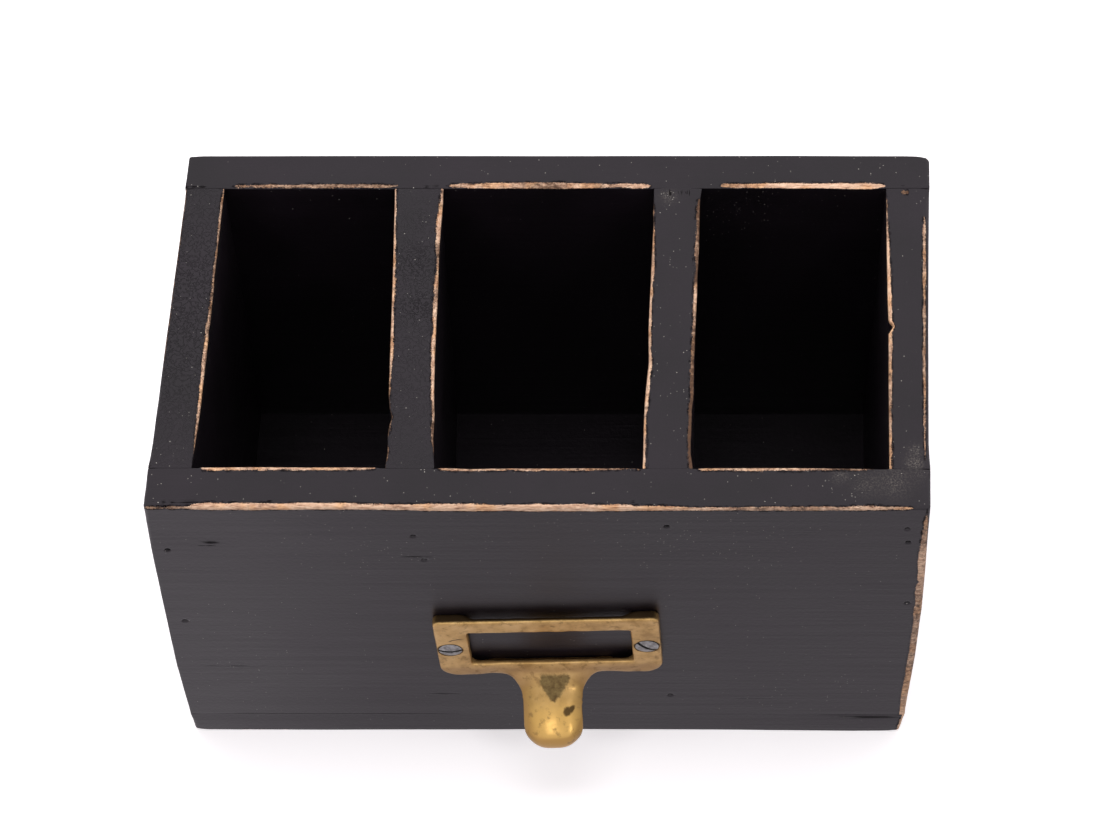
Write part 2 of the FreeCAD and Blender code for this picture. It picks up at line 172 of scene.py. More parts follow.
# Dimples over the nails, and the width within which all points are of one nail. Matt black,
# painted shade with dirt, fills each to a radius of its own, but for the one on the front at
# FILLED_PIT (x, z), which is filled in another way and has lost its paint.
HEAD_REACH = 3.0
NAIL_PIT_RADIUS = 0.85
NAIL_PIT_FLOOR = 0.25
NAIL_PIT_DEPTH = 0.8
DIRT_AND_SHADE_RADII = (0.5, 0.85)
DIRT_AND_SHADE_EDGE = 0.35
FILLED_PIT = (-28.6, 91.3)
FILLED_DIRT_AND_SHADE = 0.1

# Grid lines, in millimetres: reach and step at each arris and nail, how fast the step grows
# beyond them, and how near the last line is to each end
ARRIS_SPOT = (1.4, 0.25)
NAIL_SPOT = (0.7, 0.22)
STEP_GROWTH = 0.4
HUG = 0.05


def spaced(length, spots, base):
    """Grid lines from 0 to length: close together at the spots and base apart far from them.

    The step grows with distance from each spot (place, reach, step). The lines divide the
    running total of 1 / step into equal parts. One more line hugs each end, so that a sharp
    arris stays narrow.
    """
    fine = np.linspace(0, length, int(length / HUG) + 2)
    step = np.full(len(fine), base)
    for place, reach, small in spots:
        away = np.maximum(np.abs(fine - place) - reach, 0)
        step = np.minimum(step, small + STEP_GROWTH * away)
    middle = 2 / (step[1:] + step[:-1]) * np.diff(fine)
    total = np.concatenate([[0], np.cumsum(middle)])
    count = int(math.ceil(total[-1]))
    even = np.interp(np.linspace(0, total[-1], count + 1), total, fine)
    return np.sort(np.concatenate([even, [HUG, length - HUG]]))


def lattice(lines):
    """Closed shell of a box from its grid lines: points, and faces that point outwards.

    Each of the six sides is a grid of (i, j, k) line numbers. Points that two sides share
    have the same number (i * rows + j) * columns + k, which welds them.
    """
    counts = [len(line) for line in lines]
    quads = []
    for axis in range(3):
        first, second = [other for other in range(3) if other != axis]
        a, b = np.meshgrid(np.arange(counts[first] - 1), np.arange(counts[second] - 1), indexing="ij")
        for end in (0, 1):
            corners = []
            for step_a, step_b in ((0, 0), (1, 0), (1, 1), (0, 1)):
                index = [None, None, None]
                index[axis] = np.full(a.size, end * (counts[axis] - 1))
                index[first] = (a + step_a).ravel()
                index[second] = (b + step_b).ravel()
                corners.append((index[0] * counts[1] + index[1]) * counts[2] + index[2])
            face = np.stack(corners, 1)
            outward = (end == 1) != (axis == 1)
            quads.append(face if outward else face[:, ::-1])
    quads = np.concatenate(quads)
    used, quads = np.unique(quads, return_inverse=True)
    quads = quads.reshape(-1, 4)
    index = np.stack([used // (counts[1] * counts[2]), used // counts[2] % counts[1], used % counts[2]], 1)
    points = np.stack([line[index[:, axis]] for axis, line in enumerate(lines)], 1)
    return points, quads


def make_mesh(name, points, faces, attributes=None, smooth=True):
    """Mesh object at the origin from millimetre points and equal-sided faces."""
    mesh = bpy.data.meshes.new(name)
    sides = faces.shape[1]
    mesh.vertices.add(len(points))
    mesh.vertices.foreach_set("co", (np.asarray(points) * MM).astype(np.float32).ravel())
    mesh.loops.add(faces.size)
    mesh.loops.foreach_set("vertex_index", faces.astype(np.int32).ravel())
    mesh.polygons.add(len(faces))
    mesh.polygons.foreach_set("loop_start", np.arange(len(faces), dtype=np.int32) * sides)
    mesh.polygons.foreach_set("use_smooth", np.full(len(faces), smooth))
    mesh.update(calc_edges=True)
    for label, values in (attributes or {}).items():
        layer = mesh.attributes.new(label, "FLOAT", "POINT")
        layer.data.foreach_set("value", values.astype(np.float32))
    mesh.validate()
    piece = bpy.data.objects.new(name, mesh)
    bpy.context.scene.collection.objects.link(piece)
    return piece


# spots: {axis: grid spots}; pits: (face, first, second) of nail heads; zones: (attribute, x, y,
# z, radius, strength) of soft round patches, which stay on the top face where z is TOP_Z
Board = namedtuple("Board", "node step spots arrises pits zones seed")
ZONES = ("dust", "crinkle", "scuff", "streak")
FIELDS = ("wear", "stain", "ragged", "pit") + ZONES
TOP_Z = 116.2
FRONT_Y = -48.75
FLATTENED = 7.0  # how many times thinner than wide a patch on the top face is
# Slow waves over the faces, in millimetres. One seed serves all the boards, so they stay flush.
FACE_RISE = 0.04
FACE_SEED = 11
FACE_LENGTHS = (31.0, 57.0, 96.0)
outer_left = side_line("bottom_board", -1)
outer_right = side_line("bottom_board", 1)


def line_at(line, y):
    """x on a line (start, slope) at each y."""
    return line[0] + line[1] * y


def sharpen_joints(piece, flat, world, size, arrises_here):
    """Mark the stretches of arris that only meet another board as sharp.

    This keeps shade from running along a tight joint.
    """
    edges = rows_of(piece.data.edges, "vertices", 2, np.int32)
    sharp = np.zeros(len(edges), dtype=bool)
    for name, arris in arrises_here.items():
        on_arris = np.ones(len(edges), dtype=bool)
        sides = [SIDES[word] for word in name.split()]
        for axis, end in sides:
            on_arris &= (np.abs(flat[edges][:, :, axis] - end * size[axis]) < 1e-6).all(1)
        along = world[edges][:, :, 3 - sides[0][0] - sides[1][0]].mean(1)
        sharp |= on_arris & (along_line(arris.radius, along) < SHARP_UNDER)
    layer = piece.data.attributes.new("sharp_edge", "BOOLEAN", "EDGE")
    layer.data.foreach_set("value", sharp)


def board(spec, painted):
    """One worn board, as a closed skin over a lattice.

    A lattice point is clamped into the box that lies one radius inside the board, and pushed
    out again by that radius, which rounds every arris. The radius changes along each arris and
    blends between arrises by a bell curve of the distance. Height then moves the point along
    the same outward direction, sway and V notches move it square to the arris's first-named
    face, and the ends draw in by height as LEFT_DRAW and RIGHT_DRAW say.
    """
    low, high = box_mm(spec.node)
    left, right = side_line(spec.node, -1), side_line(spec.node, 1)
    middle = (low[1] + high[1]) / 2
    size = np.array([line_at(right, middle) - line_at(left, middle), high[1] - low[1], high[2] - low[2]])
    lines = []
    for axis in range(3):
        origin = (line_at(left, middle), low[1], low[2])[axis]
        spots = [(0.0, *ARRIS_SPOT), (size[axis], *ARRIS_SPOT)]
        spots += [(place - origin, reach, step) for place, reach, step in spec.spots.get(axis, [])]
        lines.append(spaced(size[axis], spots, spec.step))
    flat, quads = lattice(lines)

    def place_in_box(local):
        y = low[1] + local[:, 1]
        share = local[:, 0] / size[0]
        x = line_at(left, y) * (1 - share) + line_at(right, y) * share
        return np.stack([x, y, low[2] + local[:, 2]], 1)

    world = place_in_box(flat)
    radius = np.zeros(len(flat))
    weight = np.zeros(len(flat))
    wear = np.full(len(flat), PAINTED)
    stain = np.zeros(len(flat))
    ragged = np.ones(len(flat))
    pit = np.zeros(len(flat))
    height = FACE_RISE * waves(world, FACE_SEED, FACE_LENGTHS) - FACE_RISE / 2
    push = np.zeros((len(flat), 3))
    for number, (name, arris) in enumerate(spec.arrises.items()):
        (axis_a, end_a), (axis_b, end_b) = [SIDES[word] for word in name.split()]
        along = world[:, 3 - axis_a - axis_b]
        away_a = np.abs(flat[:, axis_a] - end_a * size[axis_a])
        away_b = np.abs(flat[:, axis_b] - end_b * size[axis_b])
        seed = (spec.seed * 12 + number) * len(WANDERS)
        coarse, fine, width, nibbles, patches = [
            amount * wander(along, seed + turn, length) for turn, (amount, length) in enumerate(WANDERS)]
        here = along_line(arris.radius, along) * (1 + coarse + fine)
        share = np.exp(-(away_a ** 2 + away_b ** 2) / BLEND_REACH ** 2) + 1e-9
        radius += share * here
        weight += share
        half = (along_line(arris.raw, along) + arris.patchy * patches) * (1 + width) + nibbles
        across = away_a - away_b - along_line(arris.shift, along)
        edge = half - np.hypot(across, 2 * np.minimum(away_a, away_b))
        stain = np.where(edge > wear, along_line(arris.stain, along), stain)
        ragged = np.where(edge > wear, along_line(arris.ragged, along), ragged)
        wear = np.maximum(wear, edge)
        outward = (2 * end_a - 1) * np.clip(1 - away_a / SWAY_DEPTH, 0, 1)
        push[:, axis_a] += along_line(arris.sway, along) * outward * np.exp(-(away_b / SWAY_REACH) ** 2)
        for where, length, depth in arris.vees:
            vee = np.clip(1 - np.abs(along - where) / (length / 2), 0, 1)
            push[:, axis_a] -= depth * vee * outward * np.exp(-(away_b / VEE_REACH) ** 2)
    radius = np.clip(radius / weight, LEAST_RADIUS, min(size) / 2 - 0.1)
    draw_pits = np.random.default_rng(spec.seed)
    # Each dimple also gets a pit mask, which the paint turns matt black: painted shade with dirt
    for face, first, second in spec.pits:
        axis, end = SIDES[face]
        filled = math.dist((first, second), FILLED_PIT) <= HEAD_REACH
        dirt_and_shade = FILLED_DIRT_AND_SHADE if filled else draw_pits.uniform(*DIRT_AND_SHADE_RADII)
        across, up = [other for other in range(3) if other != axis]
        on_face = np.abs(flat[:, axis] - end * size[axis]) < TOUCHING
        away = np.hypot(world[:, across] - first, world[:, up] - second)
        dimple = smooth_step(-away, -NAIL_PIT_RADIUS, -NAIL_PIT_FLOOR)
        height -= np.where(on_face, NAIL_PIT_DEPTH * dimple, 0)
        pit = np.maximum(pit, np.where(on_face, smooth_step(-away, -dirt_and_shade, DIRT_AND_SHADE_EDGE - dirt_and_shade), 0))
    inner = np.clip(flat, radius[:, None], size - radius[:, None])
    outward = flat - inner
    outward /= np.maximum(np.linalg.norm(outward, axis=1), 1e-9)[:, None]
    points = place_in_box(inner + outward * (radius + height)[:, None]) + push
    x, y, z = points.T
    draw = np.where(x < 0, along_line(LEFT_DRAW, z), -along_line(RIGHT_DRAW, z))
    reach = np.minimum(x - line_at(outer_left, y), line_at(outer_right, y) - x)
    points[:, 0] += draw * (1 - smooth_step(reach, 0.0, DRAW_REACH))
    points = np.clip(points, np.array(CAD_BOX[0]) / MM, np.array(CAD_BOX[1]) / MM)
    fields = {"wear": wear, "stain": stain, "ragged": ragged, "pit": pit}
    for label in ZONES:
        fields[label] = np.zeros(len(points))
    for label, x, y, z, reach, strength in spec.zones:
        flatten = (1, 1, FLATTENED if z == TOP_Z else 1)
        away = np.linalg.norm((points - (x, y, z)) * flatten, axis=1)
        fields[label] = np.maximum(fields[label], strength * np.exp(-(away / reach) ** 2))
    piece = make_mesh(spec.node + "_worn", points, quads, fields)
    sharpen_joints(piece, flat, world, size, spec.arrises)
    piece.data.materials.append(painted)
    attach(piece, "root")
    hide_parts(spec.node)


# Materials

def linear(hex_code):
    """Linear RGBA from an sRGB hex colour."""
    channels = [int(hex_code[i:i + 2], 16) / 255 for i in (0, 2, 4)]
    return [c / 12.92 if c <= 0.04045 else ((c + 0.055) / 1.055) ** 2.4 for c in channels] + [1.0]


# Settings that a kind of node has here unless the call says otherwise
USUAL = {"MapRange": {"interpolation_type": "SMOOTHSTEP"}, "Mix": {"data_type": "RGBA"}}


def add_node(tree, kind, *inputs, out=0, stops=(), **settings):
    """Add a node and give one of its outputs, by name or by number.

    kind is the node's type, with its operation after a space where it has one. inputs fill
    the sockets in use in their order, and settings are options or sockets by name, with _ for
    a space. Each is a value or an output to link. stops are (position, sRGB hex) pairs of a
    colour ramp.
    """
    kind, _, operation = kind.partition(" ")
    made = tree.nodes.new("ShaderNode" + kind)
    if operation:
        made.operation = operation
    sockets = {}
    for key, value in {**USUAL.get(kind, {}), **settings}.items():
        if hasattr(made, key):
            setattr(made, key, value)
        else:
            sockets[made.inputs[key.replace("_", " ")]] = value
    sockets.update(zip([socket for socket in made.inputs if socket.enabled], inputs))
    for socket, value in sockets.items():
        if isinstance(value, bpy.types.NodeSocket):
            tree.links.new(value, socket)
        else:
            socket.default_value = value
    for _ in stops[2:]:
        made.color_ramp.elements.new(0.5)
    for number, (position, colour) in enumerate(stops):
        stop = made.color_ramp.elements[number]
        stop.position, stop.color = position, linear(colour)
    given = made.outputs
    if not isinstance(out, str):
        given = [socket for socket in given if socket.enabled]
    return given[out] if given else None


def new_material(name):
    """A material with an empty node tree, and add_node bound to that tree."""
    made = bpy.data.materials.new(name)
    made.use_nodes = True
    made.node_tree.nodes.clear()
    return made, partial(add_node, made.node_tree)


PER_MM = 1000.0


def black_paint(name, run):
    """Satin black brush paint on planed pine, sanded through to the wood along the arrises.

    The satin film gives a soft grey sheen over near black, and the bare pine a matt pinkish tan.
    Matt black painted shade, with dirt, fills cracks, nail holes and crinkles.
    run is the axis that the wood's grain and the brush follow.
    """
    material, add = new_material(name)
    place = add("TexCoord", out="Object")
    worn = {label: add("Attribute", attribute_name=label, out="Fac") for label in FIELDS}
    # The grain runs about 30 times as long as it is wide, and splinters about 6 times
    stretch = [1.0, 1.0, 1.0]
    stretch[run] = 0.035
    along = add("Mapping", Vector=place, Scale=stretch)
    stretch[run] = 0.16
    drawn = add("Mapping", Vector=place, Scale=stretch)
    # Noises: what each follows, its waves per mm, detail and roughness
    noise = {label: add("TexNoise", vector, scale * PER_MM, detail, rough)
             for label, vector, scale, detail, rough in (
                 ("brush", along, 1.7, 4.0, 0.6), ("figure", along, 0.45, 3.0, 0.6),
                 ("split", along, 0.7, 4.0, 0.6), ("cloud", place, 0.035, 3.0, 0.6),
                 ("patchy", place, 0.022, 2.0, 0.6), ("tooth", place, 2.4, 3.0, 0.6),
                 ("lumps", place, 0.9, 2.0, 0.6), ("ridges", place, 0.75, 2.0, 0.6),
                 ("splinter", drawn, 1.5, 5.0, 0.75), ("chip", place, 3.2, 4.0, 0.75),
                 ("fibre", drawn, 2.2, 5.0, 0.75), ("blot", place, 0.8, 5.0, 0.7),
                 ("resin", place, 0.13, 2.0, 0.6), ("rubbing", place, 2.4, 5.0, 0.8),
                 ("grime_and_shade", place, 0.6, 4.0, 0.7))}

    # Where the paint is gone, in mm inside the sanded band, with a nibbled edge
    nibble = add("Math MULTIPLY_ADD", noise["splinter"], 1.3, -1.2)
    nibble = add("Math MULTIPLY_ADD", noise["chip"], 1.1, nibble)
    depth = add("Math MULTIPLY_ADD", nibble, worn["ragged"], worn["wear"])
    bare = add("MapRange", depth, -0.02, 0.05)
    # Bare pine: pinkish tan with paler fibres, yellower where there is resin, and brown along
    # the paint's edge
    wood = add("ValToRGB", noise["fibre"], stops=[
        (0.33, "6E4B38"), (0.43, "BA9178"), (0.56, "DAB59A"), (0.70, "EFD0B8")])
    resin = add("MapRange", noise["resin"], 0.48, 0.60)
    wood = add("Mix", resin, wood, linear("FFF2DE"), blend_type="MULTIPLY")
    edge_brown = add("ValToRGB", noise["brush"], stops=[(0.3, "4A3224"), (0.7, "6B4A34")])
    near_edge = add("MapRange", depth, 0.02, 0.18, 0.6, 0.0)
    wood = add("Mix", near_edge, wood, edge_brown)
    stained = add("Math SUBTRACT", worn["stain"], noise["blot"])
    stained = add("MapRange", stained, -0.36, 0.12)
    stain_brown = add("ValToRGB", noise["blot"], stops=[(0.3, "3B281D"), (0.7, "5E4330")])
    wood = add("Mix", stained, wood, stain_brown)
    # Paint: nearly black and a little uneven, greyer where it is scuffed
    paint = add("ValToRGB", noise["cloud"], stops=[(0.35, "0D090D"), (0.68, "150F15")])
    rubbed = add("MapRange", noise["rubbing"], 0.44, 0.64)
    rubbed = add("Math MULTIPLY", worn["scuff"], rubbed)
    rubbed_grey = add("ValToRGB", noise["blot"], stops=[(0.3, "4A4541"), (0.7, "67605A")])
    paint = add("Mix", rubbed, paint, rubbed_grey)
    # Dust caught in the paint: pale specks 0.2 to 0.4 mm across. A cell of the pattern has one
    # when its random number is under an amount that grows in the dusty patches.
    specks = None
    for scale, more, least, core, rim in ((0.55, 0.42, 0.02, 0.03, 0.09), (0.21, 0.22, 0.012, 0.012, 0.042),
                                          (1.3, 0.8, 0.03, 0.07, 0.17)):
        cells = (place, scale * PER_MM)
        speck = add("TexVoronoi", *cells, out="Distance")
        speck = add("MapRange", speck, rim, core, interpolation_type="LINEAR")
        number = add("TexVoronoi", *cells, out="Color")
        often = add("Math MULTIPLY_ADD", worn["dust"], more, least)
        often = add("Math LESS_THAN", add("SeparateColor", number), often)
        strong = add("SeparateColor", number, out=1)
        strong = add("MapRange", strong, 0.0, 1.0, 0.25, 1.0, interpolation_type="LINEAR")
        speck = add("Math MULTIPLY", speck, often)
        speck = add("Math MULTIPLY", speck, strong)
        specks = speck if specks is None else add("Math MAXIMUM", specks, speck)
    speck_white = add("ValToRGB", noise["blot"], stops=[(0.3, "A9A49C"), (0.7, "D2CCC2")])
    paint = add("Mix", specks, paint, speck_white)
    colour = add("Mix", bare, paint, wood)
    # Satin paint is about 0.35 rough and duller along the grain; bare wood is matt
    rough = add("Math MULTIPLY_ADD", noise["figure"], 0.20, 0.20)
    rough = add("Math MULTIPLY_ADD", noise["cloud"], 0.14, rough)
    matt = add("Math MULTIPLY", bare, 0.75)
    rough = add("Math MAXIMUM", rough, matt)

    # Relief in metres: brush marks, grain raised in places, tooth, lumps, crinkled paint,
    # cracks, and the paint's edge
    grain = add("MapRange", noise["figure"], 0.35, 0.7)
    raised = add("MapRange", noise["patchy"], 0.42, 0.60, 0.25, 1.0)
    grain = add("Math MULTIPLY", grain, raised)
    ridges = add("Math SUBTRACT", noise["ridges"], 0.5)
    ridges = add("Math ABSOLUTE", ridges)
    ridges = add("MapRange", ridges, 0.0, 0.06, 1.0, 0.0)
    crinkle = add("Math MULTIPLY", worn["crinkle"], ridges)
    split = add("Math MULTIPLY_ADD", worn["streak"], 0.11, noise["split"])
    split = add("MapRange", split, 0.64, 0.70)
    cracked = add("MapRange", worn["streak"], 0.0, 0.9)
    cracks = add("Math MULTIPLY", cracked, split)
    height = 0.0
    for layer, millimetres in ((noise["brush"], 0.009), (grain, 0.022), (noise["tooth"], 0.020),
                               (noise["lumps"], 0.045), (crinkle, 0.26), (cracks, -0.30), (bare, -0.035)):
        height = add("Math MULTIPLY_ADD", layer, millimetres * MM, height)
    relief = add("Bump", Height=height, Strength=1.0, Distance=1.0)
    satin = add("BsdfPrincipled", Base_Color=colour, Roughness=rough, Normal=relief, IOR=1.5,
                Specular_Tint=[1.0, 0.94, 1.0, 1.0])
    # Matt black painted shade with dirt lies in cracks, nail holes and crinkles, and dirt here and there
    # along the paint's edge
    outer = add("MapRange", depth, -0.60, -0.25)
    inner = add("MapRange", depth, 0.06, -0.03)
    grime_and_shade = add("MapRange", noise["grime_and_shade"], 0.44, 0.56, 0.0, 0.85)
    grime_and_shade = add("Math MULTIPLY", grime_and_shade, outer)
    grime_and_shade = add("Math MULTIPLY", grime_and_shade, inner)
    grime_and_shade = add("Math MULTIPLY", grime_and_shade, worn["ragged"])
    crinkle_shade = add("Math MULTIPLY", crinkle, 0.55)
    for other in (cracks, crinkle_shade, worn["pit"]):
        grime_and_shade = add("Math MAXIMUM", grime_and_shade, other)
    grime_and_shade = add("Math MULTIPLY", grime_and_shade, 0.87)
    # Matt black diffuse: painted shade with dirt
    soot_and_shade = add("BsdfDiffuse", linear("0C090B"))
    body = add("MixShader", grime_and_shade, satin, soot_and_shade)
    add("OutputMaterial", body)
    return material


# Boards

def nail_heads(face):
    """Middles of the nails' heads on one face, as (face, first, second) in its two directions."""
    axis, end = SIDES[face]
    others = [other for other in range(3) if other != axis]
    heads = []
    for name in sorted(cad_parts):
        if not name.startswith(face + "_nails"):
            continue
        points = node_points(name)
        depth = (2 * end - 1) * points[:, axis]
        rim = points[depth > depth.max() - 0.05][:, others]
        while len(rim):
            near = np.hypot(*(rim - rim[0]).T) < HEAD_REACH
            low, high = rim[near].min(0), rim[near].max(0)
            heads.append((face, *((low + high) / 2)))
            rim = rim[~near]
    return heads


def arrises(**named):
    """All twelve arrises of a board: those named (front_top and so on), and joints elsewhere."""
    words = ["front top", "back top", "left top", "right top", "front bottom", "back bottom", "left bottom",
             "right bottom", "left front", "right front", "left back", "right back"]
    return {word: named.get(word.replace(" ", "_"), JOINT) for word in words}


def on_top(**rows):
    """Zones on the top face, from rows (x, y, radius, strength) of each attribute."""
    return [(label, x, y, TOP_Z, size, strength)
            for label in rows for x, y, size, strength in rows[label]]


def on_front(**rows):
    """Zones on the front face, from rows (x, z, radius, strength) of each attribute."""
    return [(label, x, FRONT_Y, z, size, strength)
            for label in rows for x, z, size, strength in rows[label]]


# The wear that the photographed box shows on each arris
FOOT_SEAM = {-91: 0.03, 69: 0.03, 72: 0.2, 88: 0.15, 91: 0.05}
FRONT_BOARD = arrises(
    front_top=Arris(
        radius={-91: 1.1, -60: 0.9, 0: 1.0, 40: 0.9, 91: 0.9},
        raw={-91: 0.2, -89: 0.5, -86: 0.45, -84: 0.6, -82: 0.4, -80.6: 0.7, -79.6: 1.0, -77: 1.2, -46: 1.15,
            -38: 0.95, -30: 1.2, 8: 1.35, 20: 1.1, 30: 0.9, 34: 0.65, 44: 0.6, 58: 0.85, 66: 0.8, 78: 0.85,
            82: 0.6, 85.6: 0.45, 86.8: 0.15, 87.3: PAINTED},
        shift={-91: -0.35, -81: -0.3, -78: 0.0, -46: 0.1, -34: -0.1, -10: -0.35, 18: -0.3, 30: -0.3,
            40: -0.55, 64: -0.4, 78: -0.15, 91: -0.2},
        stain={-91: 0.5, -82: 0.42, -78: 0.2, -72: 0.15, -34: 0.2, -14: 0.15, 40: 0.2, 48: 0.4, 62: 0.4,
            78: 0.25, 91: 0.4},
        ragged={-91: 1.35, -81: 1.3, -77: 1.1, 91: 1.1}),
    back_top=Arris(
        radius={-79.6: 0.03, -78.6: 0.45, -36.4: 0.45, -35.4: 0.03, -24.6: 0.03, -23.6: 0.45, 24.0: 0.45,
            25.0: 0.03, 36.2: 0.03, 37.2: 0.45, 80.0: 0.45, 81.2: 0.03},
        raw={-79.4: PAINTED, -78.4: 0.5, -76: 0.75, -40: 0.65, -37: 0.2, -35.5: PAINTED, -26: PAINTED,
            -23: 0.45, -19: 0.7, -8: 0.5, 0: 0.7, 15: 0.5, 24: 0.2, 25: PAINTED, 35: PAINTED, 37: 0.6,
            60: 0.75, 66: 0.65, 69: 0.3, 73: 0.5, 78: 0.1, 80: PAINTED},
        shift={0: 0.1},
        stain={-76: 0.3, -55: 0.2, -46: 0.35, -20: 0.35, 0: 0.35, 20: 0.5, 40: 0.35, 60: 0.3, 72: 0.5},
        sway={-79.5: 0.0, -77.5: 0.4, -37.5: 0.45, -35.2: 0.0, -24: 0.0, -22: 0.3, -15: 0.0, -5: 0.2,
            22: 0.27, 24: 0.0, 36.4: 0.0, 38.5: 0.35, 65: 0.35, 76: 0.15, 80: 0.0}),
    left_top=Arris(radius={0: 1.0}), right_top=Arris(radius={0: 1.2}),
    left_front=Arris(radius={8: 0.4, 100: 0.7, 116: 1.3}),
    right_front=Arris(
        radius={8: 0.7, 60: 1.2, 100: 1.0, 116: 0.8},
        raw={9: 1.1, 14: 1.2, 20: 1.5, 30: 1.45, 60: 1.4, 79.9: 1.5, 80.4: 0.2, 80.9: 1.4, 95: 1.3, 98: 1.0,
            105: 0.85, 109: 0.6, 112: 0.2, 116: -0.4},
        shift={8: 0.4, 40: 0.4, 80: 0.4, 110: 0.7},
        stain={9: 0.15, 14: 0.3, 30: 0.40, 70: 0.42, 84: 0.3, 95: 0.3, 98: 0.4, 110: 0.4},
        ragged={9: 0.3, 94: 0.3, 99: 1.2, 116: 1.2}),
    front_bottom=Arris(
        radius=FOOT_SEAM,
        sway={-91: 0.2, -40: 0.2, -10: 0.12, 10: 0.08, 50: 0.08, 70: 0.14, 91: 0.1}))

BACK_BOARD = arrises(
    front_top=Arris(
        radius={-92: 0.2, -82: 0.2, -77: 0.3, -40: 0.3, -35: 0.3, -25: 0.25, -22: 0.32, 26: 0.32, 28: 0.04,
            40: 0.04, 43: 0.32, 81: 0.32, 83: 0.16, 87: 0.3, 91: 0.35, 94: 0.2},
        raw={-77: PAINTED, -75: 0.3, -60: 0.5, -40: 0.5, -36.5: 0.35, -34.4: 0.15, -33.8: PAINTED,
            -25: PAINTED, -23: 0.35, -20: 0.6, -5: 0.95, 6: 0.9, 16: 0.6, 25: 0.75, 27: 0.2, 28: PAINTED,
            41: PAINTED, 43: 0.55, 60: 0.75, 70: 0.85, 80: 0.8, 81.5: 0.5, 83.6: 0.15, 84.6: PAINTED},
        shift={0: 0.75},
        stain={-77: 0.4, -30: 0.5, -22: 0.35, -8: 0.3, -2: 0.45, 3: 0.5, 8: 0.3, 16: 0.4, 24: 0.2, 43: 0.45,
            50: 0.3, 64: 0.15, 80: 0.2, 88: 0.5},
        sway={-76: 0.0, -74: 0.1, -36: 0.1, -35: 0.0, -24: 0.0, 20: 0.0, 24: 0.15, 27: 0.0, 43: 0.0,
            66: 0.0, 74: 0.2, 80: 0.25, 82: 0.0}),
    back_top=Arris(radius={0: 0.12, 88: 0.12, 94: 0.6}), left_top=SOFT,
    right_top=Arris(radius={39: 1.1, 48.75: 1.6}), left_back=RUBBED,
    right_back=RUBBED._replace(radius={9: 1.0, 90: 1.4, 116: 2.3}))

BOTTOM_BOARD = arrises(
    front_bottom=Arris(
        radius={0: 0.2}, raw={-80: PAINTED, -78: 0.12, -66: 0.1, -63: PAINTED},
        sway={-91: 0.45, -80: 0.55, -40: 0.5, -10: 0.3, 10: 0.2, 50: 0.2, 66: 0.38, 78: 0.45, 91: 0.3}),
    front_top=Arris(radius=FOOT_SEAM), back_bottom=RUBBED,
    left_bottom=RUBBED._replace(radius={-49: 1.5, -40: 1.2, 49: 1.1}),
    right_bottom=Arris(radius={0: 1.3}, raw={-49: 0.6, -40: 0.3, 0: -0.1, 49: 0.4}, patchy=0.5),
    left_front=Arris(radius={0: 1.4, 8.8: 0.5}), left_back=SOFT, right_back=SOFT,
    right_front=Arris(radius={0: 0.9}, raw={0: 0.9, 8.8: 0.7}, stain={0: 0.1}))

LEFT_END_BOARD = arrises(
    left_top=Arris(
        radius={0: 0.9}, raw={0: 0.0}, stain={0: 0.5}, sway={-38.4: 0.0, -31: -0.25, 39: -0.25},
        patchy=0.35),
    right_top=Arris(
        radius={-38: 0.4, 39: 0.5},
        raw={-38: -0.3, -34: 0.05, -30: 0.45, -22: 0.7, -12: 0.8, 4: 0.75, 11: 0.5, 17: 0.65, 22: 0.35,
            30: 0.6, 39: 0.3},
        stain={-38: 0.5, -28: 0.35, -14: 0.2, 0: 0.35, 12: 0.45, 39: 0.3},
        sway={-38: -0.8, -34: -0.58, -28: -0.41, -22: -0.24, -7: -0.24, -2.5: -0.15, -1: -0.42, 1: -0.2,
            11: -0.1, 14: -0.24, 20: -0.15, 39: -0.15}))

RIGHT_END_BOARD = arrises(
    right_top=Arris(
        radius={-38: 1.1, 30: 1.3},
        raw={-38: PAINTED, -36: 0.1, -26: 0.32, 0: 0.36, 26: 0.38, 31: 0.25, 33: PAINTED}, shift={0: 1.2},
        stain={-38: 0.5, -20: 0.42, 31: 0.38}, sway={-38.4: 0.0, -31: -0.35, 0: -0.4, 36: -0.1}),
    left_top=Arris(
        radius={-38: 0.4, 0: 0.5, 39: 0.4},
        raw={-38: 0.75, -25: 0.8, -22: 0.55, -15: 0.8, 2: 0.95, 17: 0.8, 27: 0.6, 31: 0.25, 36: 0.3,
            38: -0.2},
        stain={-38: 0.32, -20: 0.38, 0: 0.3, 8: 0.15, 20: 0.1, 30: 0.4},
        sway={-38: -0.12, -14: -0.15, -4: -0.25, 4: -0.25, 8: -0.08, 14: -0.05, 20: 0.0, 39: 0.1},
        vees=[(0.3, 3.9, 1.15)]),
    back_top=JOINT._replace(
        raw={85.6: PAINTED, 86.2: 0.5, 88.4: 0.6, 89.4: PAINTED}, shift={0: 1.1}, stain={0: 0.6}))

